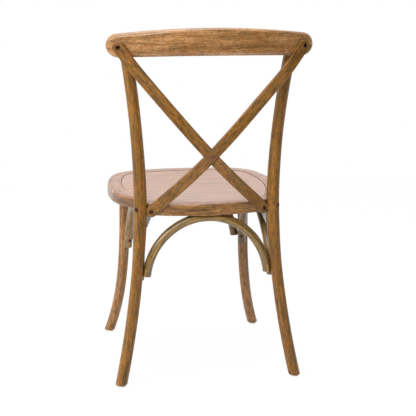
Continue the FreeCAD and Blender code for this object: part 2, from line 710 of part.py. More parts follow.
# Places of the fasteners on the left half, on the surface that each one enters
REAR_ARCH_END = arch_end_place(REAR_ARCH_LINE, back_leg_point)
FRONT_ARCH_END = arch_end_place(FRONT_ARCH_LINE, front_leg_point)
SIDE_ARCH_FRONT_END = arch_end_place(SIDE_ARCH_LINE, front_leg_point)
SIDE_ARCH_REAR_END = arch_end_place(SIDE_ARCH_LINE, back_leg_point, True)
ARCH_TOPS = [arch_top_place(line) for line in (REAR_ARCH_LINE, FRONT_ARCH_LINE, SIDE_ARCH_LINE)]
CROSSING, SLAT_TANGENT, CROSSING_NORMAL = slat_crossing()
CROSSING_PLACE = (CROSSING + CROSSING_NORMAL * (SLAT_THICKNESS / 2), CROSSING_NORMAL)
SLAT_TOP_PLACE = (slat_top()[0] + slat_top()[1] * (SLAT_THICKNESS / 2), slat_top()[1])
SLAT_BOTTOM_PLACE = (slat_bottom()[0] + slat_bottom()[1] * (SLAT_THICKNESS / 2), slat_bottom()[1])
BOLT_Z = SEAT_HEIGHT - LEG_BOLT_BELOW_SEAT
BOLT_OUT = vec(math.cos(math.radians(LEG_BOLT_ANGLE)), math.sin(math.radians(LEG_BOLT_ANGLE)), 0)
BOLT_SEAT = math.sqrt(LEG_SEAT_RADIUS ** 2 - (LEG_BOLT[1] + HEAD_RECESS_CLEARANCE) ** 2)
LEG_BOLT_PLACE = (back_leg_point(BOLT_Z) + BOLT_OUT * BOLT_SEAT, BOLT_OUT)
CHEEK_LOW = rail_bottom_z(POST_AT_RAIL.x) - CHEEK_SHOULDER_GAP
CHEEK_MIDDLE = (CHEEK_LOW + POST_TOP - POST_TOP_ROUND) / 2


def rail_screw_place(z):
    """On the front of a post, square to the crest rail."""
    axis = back_leg_point(z)
    outward = vec(-axis.x, RAIL_CENTRE_Y - axis.y, 0).normalize()
    return (axis + outward * POST_TOP_RADIUS, outward)


RAIL_SCREW_PLACES = [rail_screw_place(CHEEK_MIDDLE + side * RAIL_SCREW_SPACING / 2) for side in (-1, 1)]


def panel_screw_places():
    """Under the ledge that carries the panel: one near the front, one at the side and one near the back."""
    front = (HOOP.front_centre, FRONT_RADIUS - PANEL_SCREW_INSET, 270 + PANEL_SCREW_FRONT_ANGLE)
    side = (HOOP.side_centre, SIDE_RADIUS - PANEL_SCREW_INSET, PANEL_SCREW_SIDE_ANGLE)
    rear = (HOOP.rear_centre, REAR_RADIUS - PANEL_SCREW_INSET, 90 - PANEL_SCREW_REAR_ANGLE)
    places = []
    for centre, radius, angle in (front, side, rear):
        x, y = from_corner(centre, angle, radius)
        places.append((vec(x, y, FRAME_UNDERSIDE), DOWN))
    return places


# Corner bracket: a foot under the rear seat rail, a tongue down the leg and a cheek that stiffens the bend.
# It is drawn with the leg's axis at the origin, the rail's underside at zero height and the foot along -X.
BRACKET_LEG = back_leg_point(REAR_RAIL_UNDERSIDE)
BRACKET_PLACEMENT = FreeCAD.Placement(BRACKET_LEG, FreeCAD.Rotation(UP, BRACKET_TURN))
BRACKET_X = BRACKET_SEAT_DEPTH - LEG_SEAT_RADIUS


def beside_leg(point, direction):
    """A place given in the bracket's own frame."""
    return (BRACKET_PLACEMENT.multVec(point), BRACKET_PLACEMENT.Rotation.multVec(direction))


BRACKET_LEG_PLACE = beside_leg(vec(BRACKET_X - BRACKET_GAUGE, 0, -BRACKET_LEG_SCREW_DROP), ACROSS * -1)
BRACKET_FRAME_PLACE = beside_leg(vec(BRACKET_X - BRACKET_FRAME_SCREW_REACH, 0, -BRACKET_GAUGE), DOWN)


def bracket_seat():
    """The flat that the bracket's tongue lies on, cut into the leg's inner side."""
    low = vec(-2 * LEG_SEAT_RADIUS, -LEG_SEAT_RADIUS, -BRACKET_DROP - BRACKET_FIT)
    seat = slab(low, vec(BRACKET_X + BRACKET_FIT, LEG_SEAT_RADIUS, 0))
    seat.Placement = BRACKET_PLACEMENT
    return seat


def make_corner_bracket():
    half = BRACKET_WIDTH / 2
    inner_x = BRACKET_X - BRACKET_GAUGE
    foot = slab(vec(BRACKET_X - BRACKET_REACH, -half, -BRACKET_GAUGE), vec(BRACKET_X, half, 0))
    inner = [e for e in foot.Edges if e.CenterOfMass.x < inner_x]
    upright = [e for e in inner if abs(e.tangentAt(e.FirstParameter).z) > 0.9]
    foot = foot.makeFillet(half / 2, upright)
    tongue = slab(vec(inner_x, -half, -BRACKET_DROP), vec(BRACKET_X, half, 0))
    low = [e for e in tongue.Edges if e.CenterOfMass.z < -half]
    low = [e for e in low if abs(e.tangentAt(e.FirstParameter).x) > 0.9]
    tongue = tongue.makeFillet(half / 2, low)
    back_x = BRACKET_X - BRACKET_GAUGE / 2
    top = -BRACKET_GAUGE / 2
    low = half / 2 - BRACKET_DROP
    corners = [(back_x, top), (inner_x - BRACKET_CHEEK_REACH, top), (inner_x, low), (back_x, low)]
    points = [vec(x, half - BRACKET_GAUGE, z) for x, z in corners]
    cheek = Part.Face(Part.makePolygon(points + points[:1])).extrude(vec(0, BRACKET_GAUGE, 0))
    bracket = foot.fuse([tongue, cheek]).removeSplitter()
    bracket.Placement = BRACKET_PLACEMENT
    hole = SMALL_SCREW[0] + SCREW_HOLE_CLEARANCE
    for place in (BRACKET_LEG_PLACE, BRACKET_FRAME_PLACE):
        bracket = bracket.cut(bore(place, 2 * BRACKET_GAUGE, hole, BRACKET_GAUGE / 2))
    return bracket


# Back leg
def back_leg_core():
    """The whole bent rod with its finished ends, before anything is let into it."""
    stations = spread(0, SEAT_HEIGHT, 7) + spread(SEAT_HEIGHT, POST_TOP, 6)[1:]
    stations = [-BEYOND] + stations + [POST_TOP + BEYOND]
    leg = bent_rod(back_leg_point, back_leg_radius, stations, ACROSS)
    leg = level_cut(leg, GLIDE_HEIGHT, POST_TOP)
    leg = leg.makeFillet(POST_TOP_ROUND, edges_at(leg, POST_TOP))
    return leg.makeChamfer(FOOT_BREAK, edges_at(leg, GLIDE_HEIGHT))


def leg_bolt_bore():
    return bore(LEG_BOLT_PLACE, LEG_BOLT_LENGTH + 1, LEG_BOLT[0] + LEG_BOLT_HOLE_CLEARANCE)


def make_back_leg(core):
    leg = core.cut(bend_sector(RAIL_FRONT_RADIUS, RAIL_BEND_RADIUS, CHEEK_LOW, OVERALL_HEIGHT))
    cutters = [bracket_seat(), leg_bolt_bore(), head_bore(LEG_BOLT_PLACE, LEG_BOLT, 0.0)]
    cutters.append(glide_pin_bore(back_leg_point))
    for place in RAIL_SCREW_PLACES:
        cutters.append(bore(place, PLUG_BORE_DEPTH, PLUG_RADIUS))
        cutters.append(shank_bore(sunk(place, PLUG_BORE_DEPTH), RAIL_SCREW, RAIL_SCREW_LENGTH))
    for place in (REAR_ARCH_END, SIDE_ARCH_REAR_END):
        cutters.append(shank_bore(sunk(place, HEAD_RECESS), ARCH_SCREW, ARCH_END_SCREW_LENGTH))
    cutters.append(shank_bore(BRACKET_LEG_PLACE, SMALL_SCREW, SMALL_SCREW_LENGTH))
    return leg.cut(cutters)


# Front leg
def front_leg_core():
    leg = bent_rod(front_leg_point, front_leg_radius, spread(-BEYOND, FRAME_UNDERSIDE + BEYOND, 8), ACROSS)
    leg = level_cut(leg, GLIDE_HEIGHT, FRAME_UNDERSIDE)
    return leg.makeChamfer(FOOT_BREAK, edges_at(leg, GLIDE_HEIGHT))


def make_front_leg(core):
    base = vec(FRONT_LEG[0], FRONT_LEG[1], FRAME_UNDERSIDE - BEYOND)
    tenon = rod(base, UP, TENON_LENGTH + BEYOND, TENON_RADIUS)
    tenon = tenon.makeChamfer(TENON_BREAK, edges_at(tenon, FRAME_UNDERSIDE + TENON_LENGTH))
    cutters = [glide_pin_bore(front_leg_point)]
    for place in (FRONT_ARCH_END, SIDE_ARCH_FRONT_END):
        cutters.append(shank_bore(sunk(place, HEAD_RECESS), ARCH_SCREW, ARCH_END_SCREW_LENGTH))
    return core.fuse(tenon).removeSplitter().cut(cutters)


# Floor glides
def glide_foot(leg_point):
    return at_height(leg_point(GLIDE_HEIGHT), GLIDE_HEIGHT)


def glide_pin_bore(leg_point):
    radius = GLIDE_PIN_RADIUS + SCREW_HOLE_CLEARANCE
    return rod(glide_foot(leg_point) - UP, UP, GLIDE_PIN_LENGTH + 1.5, radius)


def make_glide(leg_point):
    top = glide_foot(leg_point)
    disc = rod(top - UP * GLIDE_HEIGHT, UP, GLIDE_HEIGHT, GLIDE_RADIUS)
    disc = disc.makeFillet(GLIDE_EDGE_BREAK, edges_at(disc, 0))
    pin = rod(top - UP * (GLIDE_HEIGHT / 2), UP, GLIDE_PIN_LENGTH + GLIDE_HEIGHT / 2, GLIDE_PIN_RADIUS)
    return disc.fuse(pin).removeSplitter()


# Crest rail
def make_crest_rail():
    cutters = [both_sides(shank_bore(sunk(SLAT_TOP_PLACE, HEAD_RECESS), SLAT_SCREW, SLAT_SCREW_LENGTH))]
    for place in RAIL_SCREW_PLACES:
        cutters.append(both_sides(shank_bore(sunk(place, PLUG_BORE_DEPTH), RAIL_SCREW, RAIL_SCREW_LENGTH)))
    return crest_rail_blank().cut(cutters)


# Seat frame and panel
def barrel_nut_base():
    axis = LEG_BOLT_PLACE[0] - BOLT_OUT * (BOLT_SEAT + BARREL_NUT_FROM_LEG)
    return at_height(axis, BOLT_Z - BARREL_NUT_HEIGHT / 2)


def dowel_places():
    """Where the dowels lie across the joint between the hoop and the rear rail."""
    centre_y = HOOP.rear_centre[1]
    z = SEAT_HEIGHT - DOWEL_BELOW_SEAT
    return [vec(x, centre_y + math.sqrt(REAR_RADIUS ** 2 - x ** 2), z) for x in DOWEL_PLACES]


def dowels(radius, length):
    rods = [rod(place - vec(0, length / 2, 0), vec(0, 1, 0), length, radius) for place in dowel_places()]
    return [both_sides(one) for one in rods]


def rebate_waste():
    """The shallow step round the seat that the panel lies in."""
    return REBATE.face(0, SEAT_HEIGHT - REBATE_DEPTH).extrude(UP * SEAT_THICKNESS)


def panel_screw_holes():
    hole = flat_screw(PANEL_SCREW, PANEL_SCREW_LENGTH, SCREW_HOLE_CLEARANCE)
    return [both_sides(aimed(hole, place)) for place in panel_screw_places()]


def make_seat_frame():
    """The bent hoop, with its rebate, sockets and holes."""
    frame = HOOP.face(0, FRAME_UNDERSIDE).extrude(UP * SEAT_THICKNESS)
    frame = frame.makeFillet(FRAME_TOP_ROUND, edges_at(frame, SEAT_HEIGHT))
    frame = frame.makeFillet(FRAME_BOTTOM_ROUND, edges_at(frame, FRAME_UNDERSIDE))
    opening = HOOP.face(FRAME_BAND, FRAME_UNDERSIDE - 1).extrude(UP * SEAT_THICKNESS)
    socket_base = vec(FRONT_LEG[0], FRONT_LEG[1], FRAME_UNDERSIDE - 1)
    cutters = [rod(socket_base, UP, TENON_LENGTH + 1 + TENON_CLEARANCE, TENON_RADIUS + TENON_CLEARANCE)]
    for place in ARCH_TOPS[1:]:
        cutters.append(shank_bore(sunk(place, HEAD_RECESS), ARCH_SCREW, ARCH_TOP_SCREW_LENGTH))
    cutters = [both_sides(cutter) for cutter in cutters] + panel_screw_holes()
    cutters += dowels(DOWEL_RADIUS + SCREW_HOLE_CLEARANCE, DOWEL_LENGTH + 2 * DOWEL_END_GAP)
    return frame.cut([rebate_waste(), opening] + cutters)


def rear_rail_blank():
    """The rail before its ends are coped: bowed and round behind, and fitted to the hoop in front."""
    end_y = rear_rail_end()
    x = REAR_RAIL_HALF_LENGTH
    z = REAR_RAIL_UNDERSIDE
    front_y = HOOP_REAR_Y - FRAME_BAND
    rear = Part.Arc(vec(-x, end_y, z), vec(0, SEAT_REAR_Y, z), vec(x, end_y, z)).toShape()
    corners = [vec(x, end_y, z), vec(x, front_y, z), vec(-x, front_y, z), vec(-x, end_y, z)]
    sides = [Part.LineSegment(a, b).toShape() for a, b in zip(corners, corners[1:])]
    rail = Part.Face(Part.Wire([rear] + sides)).extrude(UP * REAR_RAIL_HEIGHT)
    middle_z = z + REAR_RAIL_HEIGHT / 2
    ends = [vec(side * x, end_y, middle_z) for side in (1, -1)]
    upright = [e for e in rail.Edges if min((e.CenterOfMass - end).Length for end in ends) < 0.01]
    rail = rail.makeFillet(REAR_RAIL_CORNER_RADIUS, upright)
    rail = rail.makeFillet(REAR_RAIL_TOP_ROUND, edges_at(rail, SEAT_HEIGHT))
    rail = rail.makeFillet(REAR_RAIL_BOTTOM_ROUND, edges_at(rail, REAR_RAIL_UNDERSIDE))
    hoop = HOOP.face(-REAR_RAIL_GLUE_GAP, REAR_RAIL_UNDERSIDE - 1).extrude(UP * (REAR_RAIL_HEIGHT + 2))
    return rail.cut(hoop)


def make_rear_seat_rail():
    """The rear rail, coped round the back legs."""
    stations = spread(REAR_RAIL_UNDERSIDE - BEYOND, SEAT_HEIGHT + BEYOND, 5)
    notch = bent_rod(back_leg_point, lambda z: back_leg_radius(z) + LEG_NOTCH_CLEARANCE, stations, ACROSS)
    nut_low = at_height(barrel_nut_base(), REAR_RAIL_UNDERSIDE - 1)
    nut_reach = BOLT_Z + BARREL_NUT_HEIGHT / 2 + BARREL_NUT_CLEARANCE - nut_low.z
    nut_bore = rod(nut_low, UP, nut_reach, BARREL_NUT_RADIUS + BARREL_NUT_CLEARANCE)
    cutters = [notch, nut_bore, leg_bolt_bore()]
    cutters.append(shank_bore(sunk(SLAT_BOTTOM_PLACE, HEAD_RECESS), SLAT_SCREW, SLAT_SCREW_LENGTH))
    cutters.append(shank_bore(BRACKET_FRAME_PLACE, SMALL_SCREW, SMALL_SCREW_LENGTH))
    cutters = [both_sides(cutter) for cutter in cutters]
    cutters.append(shank_bore(sunk(ARCH_TOPS[0], HEAD_RECESS), ARCH_SCREW, ARCH_TOP_SCREW_LENGTH))
    cutters += dowels(DOWEL_RADIUS + SCREW_HOLE_CLEARANCE, DOWEL_LENGTH + 2 * DOWEL_END_GAP)
    return rear_rail_blank().cut([rebate_waste()] + cutters)


def make_seat_panel():
    bottom = SEAT_HEIGHT - REBATE_DEPTH
    top = bottom + PANEL_THICKNESS
    panel = REBATE.face(PANEL_EDGE_GAP, bottom).extrude(UP * PANEL_THICKNESS)
    panel = panel.makeChamfer(PANEL_EDGE_BREAK, edges_at(panel, top))
    reach = REBATE.half_width - PANEL_DISH_MARGIN
    radius = (reach ** 2 + PANEL_DISH ** 2) / (2 * PANEL_DISH)
    middle_y = (REBATE.front_y + REBATE.rear_y) / 2
    dish = Part.makeSphere(radius, vec(0, middle_y, top - PANEL_DISH + radius))
    return panel.cut([dish] + panel_screw_holes())


# Cross slats
def make_slats(leg_core):
    """The slat that stays whole outside at the crossing, and the one that stays whole inside."""
    blank = slat_blank()
    clear = bent_rod(back_leg_point, lambda z: back_leg_radius(z) + SLAT_LEG_CLEARANCE,
                     spread(FRAME_UNDERSIDE - BEYOND, SEAT_HEIGHT + BEYOND, 5), ACROSS)
    hole = CROSSING_SCREW[0] + SCREW_HOLE_CLEARANCE
    cutters = [mirrored(clear), bore(CROSSING_PLACE, 2 * SLAT_THICKNESS, hole)]
    cutters.append(head_bore(CROSSING_PLACE, CROSSING_SCREW, CROSSING_RECESS))
    for place in (SLAT_TOP_PLACE, SLAT_BOTTOM_PLACE):
        cutters.append(head_bore(place, SLAT_SCREW))
        cutters.append(shank_bore(place, SLAT_SCREW, SLAT_SCREW_LENGTH))
    blank = blank.cut(cutters)
    inner = blank.cut(halving_waste(CROSSING, flip(SLAT_TANGENT), CROSSING_NORMAL))
    outer = mirrored(blank).cut(halving_waste(CROSSING, SLAT_TANGENT, CROSSING_NORMAL * -1))
    return outer, inner


# Arches
def make_arch(line, legs, end_places):
    arch = line.solid().cut(legs)
    top = arch_top_place(line)
    cutters = [head_bore(top, ARCH_SCREW), shank_bore(top, ARCH_SCREW, ARCH_TOP_SCREW_LENGTH)]
    for place in end_places:
        cutters.append(head_bore(place, ARCH_SCREW))
        cutters.append(shank_bore(place, ARCH_SCREW, ARCH_END_SCREW_LENGTH))
    return arch.cut(cutters)


# Fastener groups
def fasteners(shape, places, depth, both=True):
    """A group of like fasteners, one at each place and, unless told otherwise, one at its mirror image."""
    solids = [aimed(shape, sunk(place, depth)) for place in places]
    if both:
        solids += [mirrored(solid) for solid in solids]
    return Part.makeCompound(solids)


def make_plugs():
    plug = rod(vec(0, 0, 0), UP, PLUG_LENGTH + PLUG_PROUD, PLUG_RADIUS)
    plug = plug.makeFillet(PLUG_PROUD, edges_at(plug, PLUG_LENGTH + PLUG_PROUD))
    return fasteners(plug, RAIL_SCREW_PLACES, PLUG_LENGTH)


def make_barrel_nuts():
    nut = rod(barrel_nut_base(), UP, BARREL_NUT_HEIGHT, BARREL_NUT_RADIUS)
    nut = nut.cut(bore(LEG_BOLT_PLACE, LEG_BOLT_LENGTH + 1, LEG_BOLT[0] + SCREW_HOLE_CLEARANCE))
    return both_sides(nut)


def build_chair():
    """Every piece by its node name."""
    back_core = back_leg_core()
    front_core = front_leg_core()
    legs = [back_core, mirrored(back_core), front_core, mirrored(front_core)]
    dowel_pairs = dowels(DOWEL_RADIUS, DOWEL_LENGTH)
    crossing_screw = dome_screw(CROSSING_SCREW, CROSSING_SCREW_LENGTH)
    rail_screw = dome_screw(RAIL_SCREW, RAIL_SCREW_LENGTH)
    panel_screw = flat_screw(PANEL_SCREW, PANEL_SCREW_LENGTH)
    back_leg = make_back_leg(back_core)
    front_leg = make_front_leg(front_core)
    outer_slat, inner_slat = make_slats(back_core)
    rear_ends = [REAR_ARCH_END, (flip(REAR_ARCH_END[0]), flip(REAR_ARCH_END[1]))]
    front_ends = [FRONT_ARCH_END, (flip(FRONT_ARCH_END[0]), flip(FRONT_ARCH_END[1]))]
    side_arch = make_arch(SIDE_ARCH_LINE, legs, [SIDE_ARCH_FRONT_END, SIDE_ARCH_REAR_END])
    bracket = make_corner_bracket()
    slat_screw = dome_screw(SLAT_SCREW, SLAT_SCREW_LENGTH)
    end_screw = dome_screw(ARCH_SCREW, ARCH_END_SCREW_LENGTH)
    end_places = [REAR_ARCH_END, FRONT_ARCH_END, SIDE_ARCH_FRONT_END, SIDE_ARCH_REAR_END]
    top_screw = dome_screw(ARCH_SCREW, ARCH_TOP_SCREW_LENGTH)
    centre_tops = fasteners(top_screw, ARCH_TOPS[:2], HEAD_RECESS, False)
    side_tops = fasteners(top_screw, ARCH_TOPS[2:], HEAD_RECESS)
    bracket_places = [BRACKET_LEG_PLACE, BRACKET_FRAME_PLACE]
    glides = [make_glide(back_leg_point), make_glide(front_leg_point)]
    return {
        "crest_rail": make_crest_rail(),
        "back_leg_left": back_leg,
        "back_leg_right": mirrored(back_leg),
        "front_leg_left": front_leg,
        "front_leg_right": mirrored(front_leg),
        "seat_frame": make_seat_frame(),
        "rear_seat_rail": make_rear_seat_rail(),
        "rear_rail_dowels": Part.makeCompound([one for pair in dowel_pairs for one in pair.Solids]),
        "seat_panel": make_seat_panel(),
        "outer_cross_slat": outer_slat,
        "inner_cross_slat": inner_slat,
        "rear_arch": make_arch(REAR_ARCH_LINE, legs, rear_ends),
        "front_arch": make_arch(FRONT_ARCH_LINE, legs, front_ends),
        "left_arch": side_arch,
        "right_arch": mirrored(side_arch),
        "corner_bracket_left": bracket,
        "corner_bracket_right": mirrored(bracket),
        "slat_top_screws": fasteners(slat_screw, [SLAT_TOP_PLACE], HEAD_RECESS),
        "slat_bottom_screws": fasteners(slat_screw, [SLAT_BOTTOM_PLACE], HEAD_RECESS),
        "crossing_screw": aimed(crossing_screw, sunk(CROSSING_PLACE, CROSSING_RECESS)),
        "crest_rail_screws": fasteners(rail_screw, RAIL_SCREW_PLACES, PLUG_BORE_DEPTH),
        "crest_rail_screw_plugs": make_plugs(),
        "leg_bolts": fasteners(dome_bolt(LEG_BOLT, LEG_BOLT_LENGTH), [LEG_BOLT_PLACE], 0.0),
        "leg_bolt_barrel_nuts": make_barrel_nuts(),
        "arch_end_screws": fasteners(end_screw, end_places, HEAD_RECESS),
        "arch_top_screws": Part.makeCompound(centre_tops.Solids + side_tops.Solids),
        "bracket_screws": fasteners(dome_screw(SMALL_SCREW, SMALL_SCREW_LENGTH), bracket_places, 0.0),
        "seat_panel_screws": fasteners(panel_screw, panel_screw_places(), 0.0),
        "floor_glides": Part.makeCompound(glides + [mirrored(glide) for glide in glides]),
    }


# The chair stands at the middle of its own box, with its feet at zero height
chair = build_chair()
whole = Part.makeCompound(list(chair.values())).optimalBoundingBox(False, False)
to_middle = vec(-(whole.XMin + whole.XMax) / 2, -(whole.YMin + whole.YMax) / 2, -whole.ZMin)
os.makedirs("parts", exist_ok=True)
for name, shape in chair.items():
    shape.translate(to_middle)
    shape.exportStep("parts/" + name + ".step")
size = [round(length, 1) for length in (whole.XLength, whole.YLength, whole.ZLength)]
print("moved by", [round(v, 3) for v in to_middle], "size", size)
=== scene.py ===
import math

import bpy
from mathutils import Matrix, Vector


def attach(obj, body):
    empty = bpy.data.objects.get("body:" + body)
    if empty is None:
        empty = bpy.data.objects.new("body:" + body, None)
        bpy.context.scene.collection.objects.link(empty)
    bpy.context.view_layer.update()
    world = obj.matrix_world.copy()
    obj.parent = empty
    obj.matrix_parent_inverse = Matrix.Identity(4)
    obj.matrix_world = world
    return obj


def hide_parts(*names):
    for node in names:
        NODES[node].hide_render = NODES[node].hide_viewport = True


bl_info = {
    "name": "Cross Back Chair",
    "version": (1, 0, 0),
    "blender": (4, 5, 0),
    "location": "3D View > Sidebar > Chair",
    "description": "Finishes and studio for a bentwood chair with a crossed slat back",
    "category": "Object",
}

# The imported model, in metres: floor at zero height, front towards -Y, sitter's left towards +X
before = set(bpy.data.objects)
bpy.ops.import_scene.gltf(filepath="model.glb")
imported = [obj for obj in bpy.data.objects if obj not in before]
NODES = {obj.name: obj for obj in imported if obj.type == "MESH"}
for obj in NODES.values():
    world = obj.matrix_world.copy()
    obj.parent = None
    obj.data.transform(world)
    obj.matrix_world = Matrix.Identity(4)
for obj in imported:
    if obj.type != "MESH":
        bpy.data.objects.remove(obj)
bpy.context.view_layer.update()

# What the grain follows, in metres. The back legs' axis at seat height is the datum for depth
POST_DATUM_Y = 0.16272
# A leg's axis: its height, then how far it lies out from the middle and back from the datum
BACK_LEG_LINE = [
    (0.000, 0.2241, 0.0505), (0.076, 0.2083, 0.0402), (0.152, 0.1949, 0.0304), (0.228, 0.1838, 0.0212),
    (0.304, 0.1754, 0.0128), (0.380, 0.1698, 0.0054), (0.456, 0.1676, 0.0000), (0.538, 0.1699, -0.0032),
    (0.620, 0.1755, -0.0046), (0.702, 0.1839, -0.0032), (0.784, 0.1950, 0.0009), (0.866, 0.2086, 0.0070),
]
FRONT_LEG_LINE = [
    (0.000, 0.2084, -0.3628), (0.061, 0.1911, -0.3503), (0.122, 0.1795, -0.3420), (0.183, 0.1722, -0.3368),
    (0.244, 0.1683, -0.3340), (0.306, 0.1665, -0.3327), (0.428, 0.1659, -0.3323),
]
# Radii in plan that the rails are bent to
CREST_RAIL_BEND = 0.688
REAR_RAIL_BEND = 0.41
SLAT_LEAN = 47.9  # degrees, seen from behind
# An arch: the axis that it spans, then its middle, the height of its feet, its half span and its rise
ARCH_SPACES = {
    "rear_arch": ("X", 0.0, 0.256, 0.1543, 0.163),
    "front_arch": ("X", 0.0, 0.258, 0.1432, 0.161),
    "left_arch": ("Y", 0.00525, 0.242, 0.1533, 0.177),
    "right_arch": ("Y", 0.00525, 0.242, 0.1533, 0.177),
}
# The hoop's outline: its middle in depth, its half width and half depth, and how square it is
HOOP_SPACE = (-0.045, 0.224, 0.195)
HOOP_SQUARENESS = 3.2

# The number of the board that each piece is cut from
# The crest rail's and the rear rail's numbers were picked so that their figure runs paler at the crest rail's
# left end, as painted highlight, and darker at the rear rail's left end, as painted shadow of the slat
BOARDS = {
    "back_leg": 81.0, "front_leg": 2.0, "crest_rail": 83.0, "plug": 4.0, "hoop": 152.0, "rear_rail": 213.0,
    "panel": 34.0, "outer_cross_slat": 25.0, "inner_cross_slat": 26.0, "rear_arch": 7.0, "front_arch": 8.0,
    "left_arch": 9.0, "right_arch": 10.0,
}
# In metres along, across and through the grain, from one board to the next and within a pair of legs
BOARD_STEP = (1.7, 0.37, 0.59)
PAIR_STEP = 0.7

# Figure that all the boards share: fine streaks in millimetres, and a slow drift of the grain in metres
STREAK = (60, 2.4)
DRIFT = 0.012
DRIFTS_PER_METRE = 11.0
# The parts of a noise pattern over which each kind of mark fades in
WARM_FADE = (0.48, 0.64)
OLD_FADE = (0.49, 0.62)
PORE_FADE = (0.53, 0.66)
# How far a face may look up before the painted side shade leaves it, from all to none
SIDE_SHADE_FADE = (-0.1, 0.5)
# The range that most of a noise pattern lies in
NOISE_RANGE = (0.3, 0.7)

LACQUER_IOR = 1.5
LACQUER_SPECULAR = 0.4
COAT_ROUGHNESS = 0.25
PORE_RELIEF = 0.0004  # metres
NYLON_IOR = 1.53
NYLON_SCUFFED = 0.85
HANDLING_MARK_MM = 5 / 3
SCUFF_MM = 2

# The colour sockets of a Mix node
COLOUR_A, COLOUR_B, COLOUR_RESULT = 6, 7, 2

SENSOR_WIDTH = 36.0  # millimetres
# In metres: where each softbox stands, what it aims at, and its width and height
OVERHEAD_SOFTBOX = ((0.2, -0.1, 2.7), (0, 0, 0.4), (2.0, 1.6))
KEY_SOFTBOX = ((2.1, 1.4, 1.7), (0, 0.1, 0.6), (0.9, 0.9))
SHOULDER_SOFTBOX = ((1.0, 2.2, 2.1), (0.1, 0.2, 0.85), (1.0, 0.6))
# Headings, from the chair's front to its back, over which the white backdrop fades into the unlit end
BACKDROP_FADE = (-0.35, 0.75)


def linear(hex_colour):
    """An sRGB hex colour as the linear RGBA that Blender's sockets take."""
    channels = [int(hex_colour[i:i + 2], 16) / 255 for i in (1, 3, 5)]
    return tuple(c / 12.92 if c <= 0.04045 else ((c + 0.055) / 1.055) ** 2.4 for c in channels) + (1.0,)


def add(tree, kind, inputs=None, **settings):
    """Adds one node, makes its settings, and sets or links its inputs."""
    node = tree.nodes.new(kind)
    for name, value in settings.items():
        setattr(node, name, value)
    for socket, value in (inputs or {}).items():
        if isinstance(value, bpy.types.Node):
            value = value.outputs[0]
        if isinstance(value, bpy.types.NodeSocket):
            tree.links.new(value, node.inputs[socket])
        else:
            node.inputs[socket].default_value = value
    return node


class Figure:
    """How a board is figured: its marks' length and width in millimetres, and how strongly they show."""

    def __init__(self, band=(260, 12), spread=0.13, mottle=(22, 6), old_stain=0.45, pore=(7, 2.2),
                 pore_depth=0.6, warm=(40, 9), warmth=0.6):
        self.band = band
        self.spread = spread
        self.mottle = mottle
        self.old_stain = old_stain
        self.pore = pore
        self.pore_depth = pore_depth
        self.warm = warm
        self.warmth = warmth


def new_material(name):
    """A material with an empty node tree."""
    material = bpy.data.materials.new(name)
    material.use_nodes = True
    material.node_tree.nodes.clear()
    return material


# Grain spaces: each gives three lengths in metres, along the grain, across it and through the piece
def axis_line(tree, height, line, column):
    """A leg's axis, across or back, at a height: a curve through the points of its line."""
    low = min(point[column] for point in line)
    span = max(point[column] for point in line) - low or 1.0
    top = line[-1][0]
    part = add(tree, "ShaderNodeMath", {0: height, 1: top}, operation="DIVIDE")
    node = add(tree, "ShaderNodeFloatCurve", {"Value": part})
    curve = node.mapping.curves[0]
    while len(curve.points) < len(line):
        curve.points.new(0.5, 0.5)
    for point, row in zip(curve.points, line):
        point.location = (row[0] / top, (row[column] - low) / span)
    node.mapping.update()
    return add(tree, "ShaderNodeMath", {0: node, 1: span, 2: low}, operation="MULTIPLY_ADD")


def leg_grain(tree, place, line):
    """Bent round stock: the grain bends with the leg."""
    across_line = axis_line(tree, place.outputs["Z"], line, 1)
    back_line = axis_line(tree, place.outputs["Z"], line, 2)
    size = add(tree, "ShaderNodeMath", {0: place.outputs["X"]}, operation="ABSOLUTE")
    across = add(tree, "ShaderNodeMath", {0: size, 1: across_line}, operation="SUBTRACT")
    from_posts = add(tree, "ShaderNodeMath", {0: place.outputs["Y"], 1: POST_DATUM_Y}, operation="SUBTRACT")
    through = add(tree, "ShaderNodeMath", {0: from_posts, 1: back_line}, operation="SUBTRACT")
    # The two legs of a pair are cut from different boards
    side = add(tree, "ShaderNodeMath", {0: place.outputs["X"]}, operation="SIGN")
    along = add(tree, "ShaderNodeMath", {0: side, 1: PAIR_STEP, 2: place.outputs["Z"]},
                operation="MULTIPLY_ADD")
    return along, across, through


def rail_grain(tree, place, bend_radius):
    """A rail steam-bent in plan: the grain runs across the chair and bows with it."""
    square = add(tree, "ShaderNodeMath", {0: place.outputs["X"], 1: place.outputs["X"]}, operation="MULTIPLY")
    bow = add(tree, "ShaderNodeMath", {0: square, 1: 0.5 / bend_radius, 2: place.outputs["Y"]},
              operation="MULTIPLY_ADD")
    return place.outputs["X"], place.outputs["Z"], bow


def slat_grain(tree, place, lean):
    """A slat: seen from behind, its grain runs straight along its slope."""
    slope = math.radians(lean)
    along_x = add(tree, "ShaderNodeMath", {0: place.outputs["X"], 1: math.cos(slope)}, operation="MULTIPLY")
    along = add(tree, "ShaderNodeMath", {0: place.outputs["Z"], 1: math.sin(slope), 2: along_x},
                operation="MULTIPLY_ADD")
    across_x = add(tree, "ShaderNodeMath", {0: place.outputs["X"], 1: -math.sin(slope)}, operation="MULTIPLY")
    across = add(tree, "ShaderNodeMath", {0: place.outputs["Z"], 1: math.cos(slope), 2: across_x},
                 operation="MULTIPLY_ADD")
    return along, across, place.outputs["Y"]


